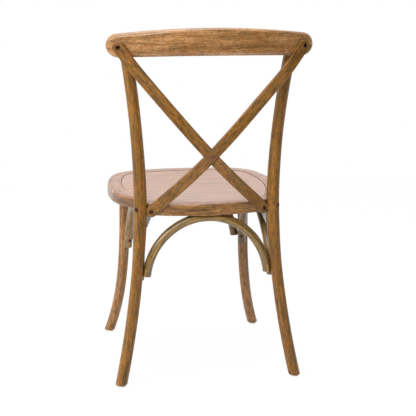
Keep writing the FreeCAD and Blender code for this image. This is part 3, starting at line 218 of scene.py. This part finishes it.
def arch_grain(tree, place, across_axis, middle, height, half_span, rise):
    """A rod bent to half an ellipse: the grain runs round it."""
    far = add(tree, "ShaderNodeMath", {0: place.outputs[across_axis], 1: middle}, operation="SUBTRACT")
    side = add(tree, "ShaderNodeMath", {0: far, 1: half_span}, operation="DIVIDE")
    above = add(tree, "ShaderNodeMath", {0: place.outputs["Z"], 1: height}, operation="SUBTRACT")
    up = add(tree, "ShaderNodeMath", {0: above, 1: rise}, operation="DIVIDE")
    turn = add(tree, "ShaderNodeMath", {0: up, 1: side}, operation="ARCTAN2")
    mean = (half_span + rise) / 2
    along = add(tree, "ShaderNodeMath", {0: turn, 1: mean}, operation="MULTIPLY")
    flat = add(tree, "ShaderNodeCombineXYZ", {0: side, 1: up})
    reach = add(tree, "ShaderNodeVectorMath", {0: flat}, operation="LENGTH")
    across = add(tree, "ShaderNodeMath", {0: reach.outputs["Value"], 1: mean}, operation="MULTIPLY")
    other = "Y" if across_axis == "X" else "X"
    return along, across, place.outputs[other]


def hoop_grain(tree, place, middle_y, half_width, half_depth):
    """A hoop bent round a seat: the grain follows its rounded square outline."""
    side = add(tree, "ShaderNodeMath", {0: place.outputs["X"], 1: half_width}, operation="DIVIDE")
    far = add(tree, "ShaderNodeMath", {0: place.outputs["Y"], 1: middle_y}, operation="SUBTRACT")
    back = add(tree, "ShaderNodeMath", {0: far, 1: half_depth}, operation="DIVIDE")
    turn = add(tree, "ShaderNodeMath", {0: back, 1: side}, operation="ARCTAN2")
    mean = (half_width + half_depth) / 2
    along = add(tree, "ShaderNodeMath", {0: turn, 1: mean}, operation="MULTIPLY")
    powers = []
    for part in (side, back):
        size = add(tree, "ShaderNodeMath", {0: part}, operation="ABSOLUTE")
        powers.append(add(tree, "ShaderNodeMath", {0: size, 1: HOOP_SQUARENESS}, operation="POWER"))
    both = add(tree, "ShaderNodeMath", {0: powers[0], 1: powers[1]})
    reach = add(tree, "ShaderNodeMath", {0: both, 1: 1 / HOOP_SQUARENESS}, operation="POWER")
    across = add(tree, "ShaderNodeMath", {0: reach, 1: mean}, operation="MULTIPLY")
    return along, across, place.outputs["Z"]


def board_grain(tree, place):
    """A flat board: the grain runs straight across the chair."""
    return place.outputs["X"], place.outputs["Y"], place.outputs["Z"]


def stained_wood(name, grain, palette, board, figure, roughness=0.40, coat=0.0, side_shade=None):
    """Open-pored hardwood, stained, rubbed back and sealed with a satin lacquer. The eye gets broad bands
    and fine streaks that run with the grain, warm and old stain over them in patches, and dark stain in
    short pores. A painted shade colour tints what doesn't face up, where less light falls from above."""
    material = new_material(name)
    tree = material.node_tree
    coordinates = add(tree, "ShaderNodeTexCoord")
    place = add(tree, "ShaderNodeSeparateXYZ", {0: coordinates.outputs["Object"]})
    along, across, through = grain(tree, place)
    grain_place = add(tree, "ShaderNodeCombineXYZ", {0: along, 1: across, 2: through})
    cut = tuple(board * step for step in BOARD_STEP)
    shifted = add(tree, "ShaderNodeVectorMath", {0: grain_place, 1: cut})
    # A slow drift, so that no streak is dead straight
    drift = add(tree, "ShaderNodeTexNoise", {"Vector": shifted, "Scale": DRIFTS_PER_METRE, "Detail": 1.0})
    drifted = add(tree, "ShaderNodeVectorMath", {0: drift.outputs["Color"], 1: (0.0, DRIFT, DRIFT), 2: shifted},
                  operation="MULTIPLY_ADD")

    def pattern(length_mm, width_mm, detail, rough=0.55):
        scale = (1000 / length_mm, 1000 / width_mm, 1000 / width_mm)
        stretched = add(tree, "ShaderNodeVectorMath", {0: drifted, 1: scale}, operation="MULTIPLY")
        return add(tree, "ShaderNodeTexNoise", {"Vector": stretched, "Scale": 1.0, "Detail": detail,
                                                "Roughness": rough})

    bands = pattern(*figure.band, 2.0)
    streaks = pattern(*STREAK, 3.0, 0.65)
    # Pores of open-grained wood are about 0.3 mm wide; they are drawn coarser, to show in the picture
    pores = pattern(*figure.pore, 2.0, 0.6)
    mottles = pattern(*figure.mottle, 3.0, 0.65)
    warm_places = pattern(*figure.warm, 2.0)

    # The tone is half bands and half streaks
    tone = add(tree, "ShaderNodeMath", {0: bands, 1: 0.5}, operation="MULTIPLY")
    tone = add(tree, "ShaderNodeMath", {0: streaks, 1: 0.5, 2: tone}, operation="MULTIPLY_ADD")
    ramp = add(tree, "ShaderNodeValToRGB", {0: tone})
    stops = ramp.color_ramp.elements
    stops[0].position, stops[0].color = 0.5 - figure.spread, palette["dark"]
    stops[1].position, stops[1].color = 0.5 + figure.spread, palette["pale"]
    middle = stops.new(0.5)
    middle.color = palette["middle"]

    warmth = add(tree, "ShaderNodeMapRange", {
        "Value": warm_places, "From Min": WARM_FADE[0], "From Max": WARM_FADE[1], "To Max": figure.warmth})
    warmed = add(tree, "ShaderNodeMix", {0: warmth, COLOUR_A: ramp, COLOUR_B: palette["warm"]},
                 data_type="RGBA")
    old = add(tree, "ShaderNodeMapRange", {
        "Value": mottles, "From Min": OLD_FADE[0], "From Max": OLD_FADE[1], "To Max": figure.old_stain})
    mottled = add(tree, "ShaderNodeMix", {0: old, COLOUR_A: warmed.outputs[COLOUR_RESULT],
                                          COLOUR_B: palette["old"]}, data_type="RGBA")
    pore = add(tree, "ShaderNodeMapRange", {
        "Value": pores, "From Min": PORE_FADE[0], "From Max": PORE_FADE[1], "To Max": figure.pore_depth})
    coloured = add(tree, "ShaderNodeMix", {0: pore, COLOUR_A: mottled.outputs[COLOUR_RESULT],
                                           COLOUR_B: palette["pore"]}, data_type="RGBA")
    # Painted shade: faces that don't look up are darkened and tinted, standing in for less light from above
    if side_shade:
        facing = add(tree, "ShaderNodeNewGeometry")
        upward = add(tree, "ShaderNodeSeparateXYZ", {0: facing.outputs["Normal"]})
        painted_shade_share = add(tree, "ShaderNodeMapRange", {
            "Value": upward.outputs["Z"], "From Min": SIDE_SHADE_FADE[0], "From Max": SIDE_SHADE_FADE[1],
            "To Min": 1.0, "To Max": 0.0})
        coloured = add(tree, "ShaderNodeMix", {0: painted_shade_share, COLOUR_A: coloured.outputs[COLOUR_RESULT],
                                               COLOUR_B: side_shade}, data_type="RGBA", blend_type="MULTIPLY")

    # The lacquer sinks a little into pores and streaks
    relief = add(tree, "ShaderNodeMath", {0: pore, 1: -1.0, 2: streaks}, operation="MULTIPLY_ADD")
    bump = add(tree, "ShaderNodeBump", {"Height": relief, "Strength": 0.3, "Distance": PORE_RELIEF})
    gloss = add(tree, "ShaderNodeMapRange", {
        "Value": streaks, "From Min": NOISE_RANGE[0], "From Max": NOISE_RANGE[1],
        "To Min": roughness + 0.07, "To Max": roughness - 0.05})
    shader = add(tree, "ShaderNodeBsdfPrincipled", {
        "Base Color": coloured.outputs[COLOUR_RESULT], "Roughness": gloss, "IOR": LACQUER_IOR,
        "Specular IOR Level": LACQUER_SPECULAR, "Normal": bump, "Coat Weight": coat,
        "Coat Roughness": COAT_ROUGHNESS})
    add(tree, "ShaderNodeOutputMaterial", {"Surface": shader})
    return material


def plated_metal(name, colour, dark, roughness):
    """Small turned or pressed hardware in plated steel: handling marks dull and darken it in patches."""
    material = new_material(name)
    tree = material.node_tree
    coordinates = add(tree, "ShaderNodeTexCoord")
    marks = add(tree, "ShaderNodeTexNoise", {
        "Vector": coordinates.outputs["Object"], "Scale": 1000 / HANDLING_MARK_MM, "Detail": 2.0})
    shade = add(tree, "ShaderNodeMix", {0: marks.outputs[0], COLOUR_A: dark, COLOUR_B: colour},
                data_type="RGBA")
    dull = add(tree, "ShaderNodeMapRange", {
        "Value": marks.outputs[0], "To Min": roughness + 0.15, "To Max": roughness - 0.08})
    shader = add(tree, "ShaderNodeBsdfPrincipled", {
        "Base Color": shade.outputs[COLOUR_RESULT], "Metallic": 1.0, "Roughness": dull})
    add(tree, "ShaderNodeOutputMaterial", {"Surface": shader})
    return material


def moulded_nylon(name, colour):
    """Injection-moulded nylon: off-white, faintly rough, with scuffs from the floor."""
    material = new_material(name)
    tree = material.node_tree
    coordinates = add(tree, "ShaderNodeTexCoord")
    scuffs = add(tree, "ShaderNodeTexNoise", {
        "Vector": coordinates.outputs["Object"], "Scale": 1000 / SCUFF_MM, "Detail": 3.0})
    shade = add(tree, "ShaderNodeMapRange", {
        "Value": scuffs.outputs[0], "From Min": NOISE_RANGE[0], "From Max": NOISE_RANGE[1],
        "To Min": NYLON_SCUFFED, "To Max": 1.0})
    mixed = add(tree, "ShaderNodeMix", {0: 1.0, COLOUR_A: colour, COLOUR_B: shade}, data_type="RGBA",
                blend_type="MULTIPLY")
    shader = add(tree, "ShaderNodeBsdfPrincipled", {
        "Base Color": mixed.outputs[COLOUR_RESULT], "Roughness": 0.5, "IOR": NYLON_IOR})
    add(tree, "ShaderNodeOutputMaterial", {"Surface": shader})
    return material


def finish_node(name, material):
    """Gives all of a piece one finish."""
    mesh = NODES[name].data
    if not mesh.materials:
        mesh.materials.append(material)
    for index in range(len(mesh.materials)):
        mesh.materials[index] = material


class ChairView(bpy.types.PropertyGroup):
    azimuth: bpy.props.FloatProperty(
        name="Azimuth", description="Turn of the camera round the chair, from the front",
        default=math.radians(168.9479), subtype="ANGLE")
    elevation: bpy.props.FloatProperty(
        name="Elevation", description="Height of the camera above the horizon",
        default=math.radians(14.0005), subtype="ANGLE")
    roll: bpy.props.FloatProperty(
        name="Roll", description="Tilt of the picture", default=math.radians(0.6416), subtype="ANGLE")
    distance: bpy.props.FloatProperty(
        name="Distance", description="From the camera to the point it looks at", default=3.009758,
        unit="LENGTH")
    target: bpy.props.FloatVectorProperty(
        name="Target", description="The point in the middle of the picture",
        default=(-0.0022665, POST_DATUM_Y, 0.438348), size=3, subtype="XYZ", unit="LENGTH")
    lens: bpy.props.FloatProperty(
        name="Lens", description="Focal length on a sensor 36 mm wide", default=104.66, unit="CAMERA")


class ChairStudio(bpy.types.PropertyGroup):
    floor_size: bpy.props.FloatProperty(
        name="Floor size", description="Side of the floor", default=4.0, unit="LENGTH")
    floor_colour: bpy.props.FloatVectorProperty(
        name="Floor colour", description="Matt paint of the studio floor", default=linear("#f4f4f4"), size=4,
        subtype="COLOR")
    floor_glow: bpy.props.FloatProperty(
        name="Floor glow", description="How much of the floor's own white the camera sees over its shadows",
        default=0.94, min=0.0, max=1.0, subtype="FACTOR")
    backdrop: bpy.props.FloatProperty(
        name="Backdrop", description="Light from the white backdrop, before the chair's front",
        default=1.0, min=0.0)
    dark_end: bpy.props.FloatProperty(
        name="Dark end", description="Light from the studio's unlit end, behind the chair",
        default=0.07, min=0.0)
    overhead_power: bpy.props.FloatProperty(
        name="Overhead light", description="Power of the overhead softbox",
        default=40.0, min=0.0, unit="POWER")
    key_power: bpy.props.FloatProperty(
        name="Key light", description="Power of the softbox off the chair's left side",
        default=44.0, min=0.0, unit="POWER")
    shoulder_power: bpy.props.FloatProperty(
        name="Shoulder light", description="Power of the softbox high behind the back rest",
        default=42.0, min=0.0, unit="POWER")


def paint(name, description, hex_colour):
    """A colour that a user can change, given as sRGB hex."""
    return bpy.props.FloatVectorProperty(name=name, description=description, default=linear(hex_colour),
                                         size=4, subtype="COLOR")


class ChairWood(bpy.types.PropertyGroup):
    dark: paint("Dark grain", "Dark bands of the stained frame", "#50350c")
    middle: paint("Middle grain", "Main tone of the stained frame", "#785012")
    pale: paint("Pale grain", "Rubbed-back bands of the stained frame", "#946624")
    warm: paint("Warm patches", "Orange patches where the stain is thin", "#8e5516")
    old: paint("Old stain", "Olive-brown patches of older stain", "#3e2c0a")
    pore: paint("Pores", "Stain held in the pores", "#1e1404")
    crest_middle: paint("Crest rail grain", "Main tone of the crest rail", "#9a6d3e")
    crest_pale: paint("Pale crest rail grain", "Rubbed-back bands of the crest rail", "#c69a68")
    arch_middle: paint("Arch grain", "Main tone of the bent arches", "#72561f")
    arch_pale: paint("Pale arch grain", "Rubbed-back bands of the bent arches", "#a07c40")
    front_middle: paint("Front leg grain", "Main tone of the front legs", "#a07449")
    seat_middle: paint("Seat grain", "Main tone of the seat's top", "#986848")
    seat_pale: paint("Pale seat grain", "Rubbed-back bands of the seat's top", "#b0866a")
    # Painted shade: these tints darken the hoop's and the rear rail's sides against their tops, which light
    # from above makes pale
    hoop_side_shade: paint("Hoop side", "Tint of the hoop's sides over its grain", "#a89e44")
    rail_side_shade: paint("Rear rail side", "Tint of the rear rail's sides over its grain", "#e2da6c")


class ChairMetal(bpy.types.PropertyGroup):
    bronzed: paint("Bronzed steel", "Screw heads", "#5c4038")
    bronzed_dull: paint("Dull bronzed steel", "Handling marks on the plain screws", "#5a4030")
    bronzed_dark: paint("Dark bronzed steel", "Handling marks on the screws with a tool recess", "#281c18")
    worn: paint("Worn bronze", "Copper that shows on the crossing screw", "#a4705a")
    worn_dark: paint("Dark worn bronze", "Handling marks on the crossing screw", "#3a2620")
    zinc: paint("Zinc", "Brackets, barrel nuts and hidden screws", "#b4b2ae")
    zinc_dull: paint("Dull zinc", "Handling marks on the zinc", "#8f8d89")
    nylon: paint("Nylon", "Floor glides", "#dcdcda")


def frame_palette(context, **changes):
    """The stained frame's colours, with any that a piece has of its own."""
    wood = context.scene.chair_wood
    names = {name: changes.get(name, name) for name in ("dark", "middle", "pale", "warm", "old", "pore")}
    return {name: tuple(getattr(wood, source)) for name, source in names.items()}


class CHAIR_OT_view(bpy.types.Operator):
    """Place the camera where the photograph was taken from"""
    bl_idname = "chair.view"
    bl_label = "Camera"

    def execute(self, context):
        view = context.scene.chair_view
        a, e = view.azimuth, view.elevation
        back = Vector((math.sin(a) * math.cos(e), -math.cos(a) * math.cos(e), math.sin(e)))
        right = (-back).cross(Vector((0, 0, 1))).normalized()
        up = right.cross(-back)
        rolled_right = math.cos(view.roll) * right + math.sin(view.roll) * up
        rolled_up = math.cos(view.roll) * up - math.sin(view.roll) * right
        turn = Matrix((rolled_right, rolled_up, back)).transposed().to_4x4()
        camera = bpy.data.objects.new("photo_camera", bpy.data.cameras.new("photo_camera"))
        camera.matrix_world = Matrix.Translation(Vector(view.target) + back * view.distance) @ turn
        camera.data.sensor_width = SENSOR_WIDTH
        camera.data.lens = view.lens
        context.scene.collection.objects.link(camera)
        context.scene.camera = camera
        return {"FINISHED"}


def softbox(context, name, place, aim, size, power):
    """A rectangular area light that looks at its aim."""
    lamp = bpy.data.lights.new(name, "AREA")
    lamp.shape = "RECTANGLE"
    lamp.size, lamp.size_y = size
    lamp.energy = power
    holder = bpy.data.objects.new(name, lamp)
    holder.location = place
    holder.rotation_euler = (Vector(aim) - Vector(place)).to_track_quat("-Z", "Y").to_euler()
    context.scene.collection.objects.link(holder)


class CHAIR_OT_stage(bpy.types.Operator):
    """Lay the pale floor and set the plain soft light"""
    bl_idname = "chair.stage"
    bl_label = "Floor and light"

    def execute(self, context):
        studio = context.scene.chair_studio
        bpy.ops.object.select_all(action="DESELECT")
        bpy.ops.mesh.primitive_plane_add(size=studio.floor_size, location=(0, 0, 0))
        floor = context.active_object
        floor.name = "studio_floor"
        material = new_material("matt_studio_floor")
        tree = material.node_tree
        # A matt painted floor: plain white to the camera, with the chair's soft shadow left in it
        path = add(tree, "ShaderNodeLightPath")
        matt = add(tree, "ShaderNodeBsdfDiffuse", {"Color": tuple(studio.floor_colour)})
        glow = add(tree, "ShaderNodeEmission", {"Color": (1, 1, 1, 1), "Strength": 1.0})
        seen = add(tree, "ShaderNodeMath", {0: path.outputs["Is Camera Ray"], 1: studio.floor_glow},
                   operation="MULTIPLY")
        mixed = add(tree, "ShaderNodeMixShader", {0: seen, 1: matt, 2: glow})
        add(tree, "ShaderNodeOutputMaterial", {"Surface": mixed})
        floor.data.materials.append(material)

        # White backdrop before the chair's front, falling off to the studio's unlit end behind it
        world = bpy.data.worlds.new("plain_studio")
        world.use_nodes = True
        tree = world.node_tree
        tree.nodes.clear()
        sky = add(tree, "ShaderNodeTexCoord")
        heading = add(tree, "ShaderNodeSeparateXYZ", {0: sky.outputs["Generated"]})
        level = add(tree, "ShaderNodeMapRange", {
            "Value": heading.outputs["Y"], "From Min": BACKDROP_FADE[0], "From Max": BACKDROP_FADE[1],
            "To Min": studio.backdrop, "To Max": studio.dark_end}, interpolation_type="SMOOTHSTEP")
        path = add(tree, "ShaderNodeLightPath")
        plain = add(tree, "ShaderNodeBackground", {"Color": (1, 1, 1, 1), "Strength": level})
        white = add(tree, "ShaderNodeBackground", {"Color": (1, 1, 1, 1), "Strength": 1.0})
        both = add(tree, "ShaderNodeMixShader", {0: path.outputs["Is Camera Ray"], 1: plain, 2: white})
        add(tree, "ShaderNodeOutputWorld", {"Surface": both})
        context.scene.world = world

        softbox(context, "overhead_softbox", *OVERHEAD_SOFTBOX, studio.overhead_power)
        softbox(context, "key_softbox", *KEY_SOFTBOX, studio.key_power)
        softbox(context, "shoulder_softbox", *SHOULDER_SOFTBOX, studio.shoulder_power)
        return {"FINISHED"}


class CHAIR_OT_legs(bpy.types.Operator):
    """Finish the back legs and front legs"""
    bl_idname = "chair.legs"
    bl_label = "Legs"

    def execute(self, context):
        colours = frame_palette(context)
        figure = Figure(band=(300, 10), mottle=(30, 5), old_stain=0.5, pore=(9, 2.2), pore_depth=0.65)
        back = stained_wood("stained_back_leg_wood",
                            lambda tree, place: leg_grain(tree, place, BACK_LEG_LINE),
                            colours, BOARDS["back_leg"], figure)
        front = stained_wood("stained_front_leg_wood",
                             lambda tree, place: leg_grain(tree, place, FRONT_LEG_LINE),
                             frame_palette(context, middle="front_middle"), BOARDS["front_leg"], figure)
        for side in ("left", "right"):
            finish_node("back_leg_" + side, back)
            finish_node("front_leg_" + side, front)
        return {"FINISHED"}


class CHAIR_OT_crest_rail(bpy.types.Operator):
    """Finish the crest rail, its screw plugs and the rear rail's dowels"""
    bl_idname = "chair.crest_rail"
    bl_label = "Crest rail"

    def execute(self, context):
        colours = frame_palette(context)
        figure = Figure(band=(180, 16), spread=0.19, mottle=(10, 6), old_stain=0.4, pore=(5, 2.6),
                        pore_depth=0.5, warm=(26, 10), warmth=0.4)
        rail = stained_wood("stained_crest_rail_wood",
                            lambda tree, place: rail_grain(tree, place, CREST_RAIL_BEND),
                            frame_palette(context, middle="crest_middle", pale="crest_pale"),
                            BOARDS["crest_rail"], figure, coat=0.45)
        finish_node("crest_rail", rail)
        plug = stained_wood("stained_plug_wood", board_grain, colours, BOARDS["plug"], Figure())
        finish_node("crest_rail_screw_plugs", plug)
        finish_node("rear_rail_dowels", plug)
        return {"FINISHED"}


class CHAIR_OT_slats(bpy.types.Operator):
    """Finish the two crossed slats"""
    bl_idname = "chair.slats"
    bl_label = "Cross slats"

    def execute(self, context):
        colours = frame_palette(context)
        figure = Figure(band=(220, 9), mottle=(26, 6), old_stain=0.6, pore=(10, 2.2))
        for name, lean in (("outer_cross_slat", -SLAT_LEAN), ("inner_cross_slat", SLAT_LEAN)):
            slat = stained_wood("stained_" + name + "_wood",
                                lambda tree, place, lean=lean: slat_grain(tree, place, lean),
                                colours, BOARDS[name], figure)
            finish_node(name, slat)
        return {"FINISHED"}


class CHAIR_OT_arches(bpy.types.Operator):
    """Finish the four bent arches under the seat"""
    bl_idname = "chair.arches"
    bl_label = "Arches"

    def execute(self, context):
        colours = frame_palette(context, middle="arch_middle", pale="arch_pale", warm="arch_middle")
        figure = Figure(band=(400, 5), mottle=(50, 4), old_stain=0.6, pore=(20, 2.2), pore_depth=0.65)
        for name, space in ARCH_SPACES.items():
            arch = stained_wood("bent_" + name + "_wood",
                                lambda tree, place, space=space: arch_grain(tree, place, *space),
                                colours, BOARDS[name], figure, roughness=0.36, coat=0.45)
            finish_node(name, arch)
        return {"FINISHED"}


class CHAIR_OT_seat(bpy.types.Operator):
    """Finish the hoop, the rear rail and the panel of the seat"""
    bl_idname = "chair.seat"
    bl_label = "Seat"

    def execute(self, context):
        colours = frame_palette(context, middle="seat_middle", pale="seat_pale", warm="seat_middle")
        # The hoop and the rear rail carry painted shade on their sides
        hoop = stained_wood("stained_hoop_wood", lambda tree, place: hoop_grain(tree, place, *HOOP_SPACE),
                            colours, BOARDS["hoop"],
                            Figure(band=(300, 7), spread=0.16, mottle=(40, 4), old_stain=0.35, pore=(22, 2.4),
                                   pore_depth=0.65),
                            roughness=0.34, coat=0.55, side_shade=tuple(context.scene.chair_wood.hoop_side_shade))
        finish_node("seat_frame", hoop)
        # Its heavy old stain is partly the rail's own and partly painted shadow of the slat at its left end
        rail = stained_wood("stained_rear_seat_rail_wood",
                            lambda tree, place: rail_grain(tree, place, REAR_RAIL_BEND),
                            colours, BOARDS["rear_rail"],
                            Figure(band=(240, 8), mottle=(60, 9), old_stain=0.8, pore=(14, 2.4),
                                   pore_depth=0.7),
                            coat=0.3, side_shade=tuple(context.scene.chair_wood.rail_side_shade))
        finish_node("rear_seat_rail", rail)
        panel = stained_wood("veneered_seat_panel", board_grain, colours, BOARDS["panel"],
                             Figure(band=(320, 12), spread=0.26, mottle=(60, 9), old_stain=0.08,
                                    pore=(26, 2.4), pore_depth=0.16, warmth=0.3),
                             roughness=0.34, coat=0.7)
        finish_node("seat_panel", panel)
        return {"FINISHED"}


class CHAIR_OT_hardware(bpy.types.Operator):
    """Finish the screws without a tool recess, the nuts, the brackets and the floor glides"""
    bl_idname = "chair.hardware"
    bl_label = "Hardware"

    def execute(self, context):
        metal = context.scene.chair_metal
        bronzed = plated_metal("bronzed_steel_hardware", tuple(metal.bronzed), tuple(metal.bronzed_dull),
                               roughness=0.5)
        zinc = plated_metal("zinc_plated_steel", tuple(metal.zinc), tuple(metal.zinc_dull), roughness=0.45)
        nylon = moulded_nylon("moulded_nylon_glides", tuple(metal.nylon))
        for name in ("crest_rail_screws", "arch_end_screws", "arch_top_screws"):
            finish_node(name, bronzed)
        for name in ("corner_bracket_left", "corner_bracket_right", "bracket_screws", "leg_bolt_barrel_nuts",
                     "seat_panel_screws"):
            finish_node(name, zinc)
        finish_node("floor_glides", nylon)
        return {"FINISHED"}


class VisibleScrew:
    """A group of like screws, in metres: where a head meets the wood, its outward axis and how far it is
    sunk there, the radius and height of its head, the radius and length of its shank, its tool recess and
    how many degrees that is turned. A pair has its twin on the chair's other side."""

    def __init__(self, node, place, outward, sunk, head, shank, recess, turn, pair=True):
        self.node = node
        self.place = Vector(place)
        self.outward = Vector(outward)
        self.sunk = sunk
        self.head_radius, self.head_height = head
        self.shank_radius, self.shank_length = shank
        self.recess = recess
        self.turn = turn
        self.pair = pair


VISIBLE_SCREWS = (
    VisibleScrew("slat_top_screws", place=(0.22641, 0.21111, 0.84475), outward=(0.325, 0.9457, 0.0),
                 sunk=0.0022, head=(0.0054, 0.003), shank=(0.00225, 0.029), recess="cross", turn=20.0),
    VisibleScrew("slat_bottom_screws", place=(0.14295, 0.17721, 0.4370), outward=(0.3415, 0.9399, 0.0),
                 sunk=0.0022, head=(0.0054, 0.003), shank=(0.00225, 0.029), recess="cross", turn=35.0),
    VisibleScrew("crossing_screw", place=(0.0, 0.21543, 0.57719), outward=(0.0, 0.989, -0.148),
                 sunk=0.0012, head=(0.0046, 0.0022), shank=(0.0016, 0.0066), recess="slot", turn=4.0,
                 pair=False),
    VisibleScrew("leg_bolts", place=(0.17835, 0.1736, 0.4430), outward=(0.7193, 0.6947, 0.0),
                 sunk=0.0, head=(0.0045, 0.003), shank=(0.003, 0.052), recess="hexagon", turn=0.0),
)
# Shares of a head's height: its domed part and the depth of its recess
DOME = 0.72
RECESS_DEPTH = 0.55
# Shares of a head's radius: a hexagon recess, and the length and width of a slot
HEXAGON = 0.48
SLOT_LENGTH = {"slot": 2.4, "cross": 1.15}
SLOT_WIDTH = 0.24
SHANK_TIP = 0.35  # of the shank's radius
ROUND_SIDES = 40
SMOOTH_BELOW = 35  # degrees


def select_level(mesh, height, near=1e-6):
    """Selects the faces of the mesh in edit mode that lie level at a height."""
    bpy.ops.mesh.select_all(action="DESELECT")
    bpy.ops.object.mode_set(mode="OBJECT")
    for face in mesh.polygons:
        face.select = all(abs(mesh.vertices[v].co.z - height) < near for v in face.vertices)
    bpy.ops.object.mode_set(mode="EDIT")


def cut_recess(screw, cutter):
    """Cuts one tool shape into the head, then clears the tool away."""
    difference = screw.modifiers.new("recess", "BOOLEAN")
    difference.operation = "DIFFERENCE"
    difference.object = cutter
    bpy.ops.object.select_all(action="DESELECT")
    bpy.context.view_layer.objects.active = screw
    screw.select_set(True)
    bpy.ops.object.modifier_apply(modifier=difference.name)
    bpy.data.objects.remove(cutter)


def turned_screw(kind):
    """One screw about the Z axis with its seat at zero height: a domed head, a shank and a tool recess."""
    bpy.ops.object.select_all(action="DESELECT")
    bpy.ops.mesh.primitive_cylinder_add(vertices=ROUND_SIDES, radius=kind.head_radius,
                                        depth=kind.head_height, location=(0, 0, kind.head_height / 2))
    screw = bpy.context.active_object
    bpy.ops.object.transform_apply(location=True, rotation=True, scale=True)
    bpy.ops.object.mode_set(mode="EDIT")
    bpy.ops.mesh.select_mode(type="FACE")
    select_level(screw.data, kind.head_height)
    bpy.ops.mesh.bevel(offset=kind.head_height * DOME, segments=6, profile=0.55, affect="EDGES")
    select_level(screw.data, 0.0)
    bpy.ops.mesh.inset(thickness=kind.head_radius - kind.shank_radius)
    bpy.ops.mesh.extrude_region_move(TRANSFORM_OT_translate={"value": (0, 0, -kind.shank_length)})
    bpy.ops.mesh.bevel(offset=kind.shank_radius * SHANK_TIP, segments=2, affect="EDGES")
    bpy.ops.object.mode_set(mode="OBJECT")
    depth = kind.head_height * RECESS_DEPTH
    if kind.recess == "hexagon":
        bpy.ops.mesh.primitive_cylinder_add(vertices=6, radius=kind.head_radius * HEXAGON, depth=2 * depth,
                                            location=(0, 0, kind.head_height))
        cut_recess(screw, bpy.context.active_object)
    else:
        cutter = (kind.head_radius * SLOT_LENGTH[kind.recess], kind.head_radius * SLOT_WIDTH, 2 * depth)
        for turn in (0.0,) if kind.recess == "slot" else (0.0, math.pi / 2):
            bpy.ops.mesh.primitive_cube_add(size=1, location=(0, 0, kind.head_height), rotation=(0, 0, turn),
                                            scale=cutter)
            cut_recess(screw, bpy.context.active_object)
    bpy.ops.object.select_all(action="DESELECT")
    screw.select_set(True)
    bpy.context.view_layer.objects.active = screw
    bpy.ops.object.shade_smooth_by_angle(angle=math.radians(SMOOTH_BELOW))
    return screw


class CHAIR_OT_screws(bpy.types.Operator):
    """Model the screws and bolts whose heads show their tool recesses"""
    bl_idname = "chair.screws"
    bl_label = "Visible screws"

    def execute(self, context):
        metal = context.scene.chair_metal
        worn = plated_metal("worn_bronzed_steel", tuple(metal.worn), tuple(metal.worn_dark), roughness=0.3)
        dark = plated_metal("bronzed_steel_screw", tuple(metal.bronzed), tuple(metal.bronzed_dark),
                            roughness=0.26)
        for kind in VISIBLE_SCREWS:
            screw = turned_screw(kind)
            screws = [screw]
            if kind.pair:
                twin = screw.copy()
                twin.data = screw.data.copy()
                context.scene.collection.objects.link(twin)
                screws.append(twin)
            for copy, side in zip(screws, (1, -1)):
                outward = Vector((side * kind.outward.x, kind.outward.y, kind.outward.z)).normalized()
                place = Vector((side * kind.place.x, kind.place.y, kind.place.z)) - outward * kind.sunk
                level = Vector((0, 0, 1)).cross(outward).normalized()
                frame_turn = Matrix((level, outward.cross(level), outward)).transposed().to_4x4()
                tool_turn = Matrix.Rotation(math.radians(kind.turn * side), 4, "Z")
                copy.data.transform(Matrix.Translation(place) @ frame_turn @ tool_turn)
            bpy.ops.object.select_all(action="DESELECT")
            for copy in screws:
                copy.select_set(True)
            context.view_layer.objects.active = screw
            if kind.pair:
                bpy.ops.object.join()
            screw.name = "detailed_" + kind.node
            screw.data.materials.append(worn if kind.node == "crossing_screw" else dark)
            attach(screw, "root")
            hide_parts(kind.node)
        return {"FINISHED"}


STEPS = ("view", "stage", "legs", "crest_rail", "slats", "arches", "seat", "hardware", "screws")


class CHAIR_PT_panel(bpy.types.Panel):
    """The steps of the chair, in the order in which they are made"""
    bl_idname = "CHAIR_PT_panel"
    bl_label = "Cross Back Chair"
    bl_space_type = "VIEW_3D"
    bl_region_type = "UI"
    bl_category = "Chair"

    def draw(self, context):
        for step in STEPS:
            self.layout.operator("chair." + step)
        for group in (context.scene.chair_view, context.scene.chair_studio, context.scene.chair_wood,
                      context.scene.chair_metal):
            box = self.layout.box()
            for name in group.__annotations__:
                box.prop(group, name)


CLASSES = (ChairView, ChairStudio, ChairWood, ChairMetal, CHAIR_OT_view, CHAIR_OT_stage, CHAIR_OT_legs,
           CHAIR_OT_crest_rail, CHAIR_OT_slats, CHAIR_OT_arches, CHAIR_OT_seat, CHAIR_OT_hardware,
           CHAIR_OT_screws, CHAIR_PT_panel)


def register():
    for each in CLASSES:
        bpy.utils.register_class(each)
    bpy.types.Scene.chair_view = bpy.props.PointerProperty(type=ChairView)
    bpy.types.Scene.chair_studio = bpy.props.PointerProperty(type=ChairStudio)
    bpy.types.Scene.chair_wood = bpy.props.PointerProperty(type=ChairWood)
    bpy.types.Scene.chair_metal = bpy.props.PointerProperty(type=ChairMetal)


def unregister():
    for name in ("chair_view", "chair_studio", "chair_wood", "chair_metal"):
        delattr(bpy.types.Scene, name)
    for each in reversed(CLASSES):
        bpy.utils.unregister_class(each)


def main():
    register()
    bpy.context.scene.view_settings.view_transform = "Standard"
    for step in STEPS:
        getattr(bpy.ops.chair, step)()


if __name__ == "__main__":
    main()
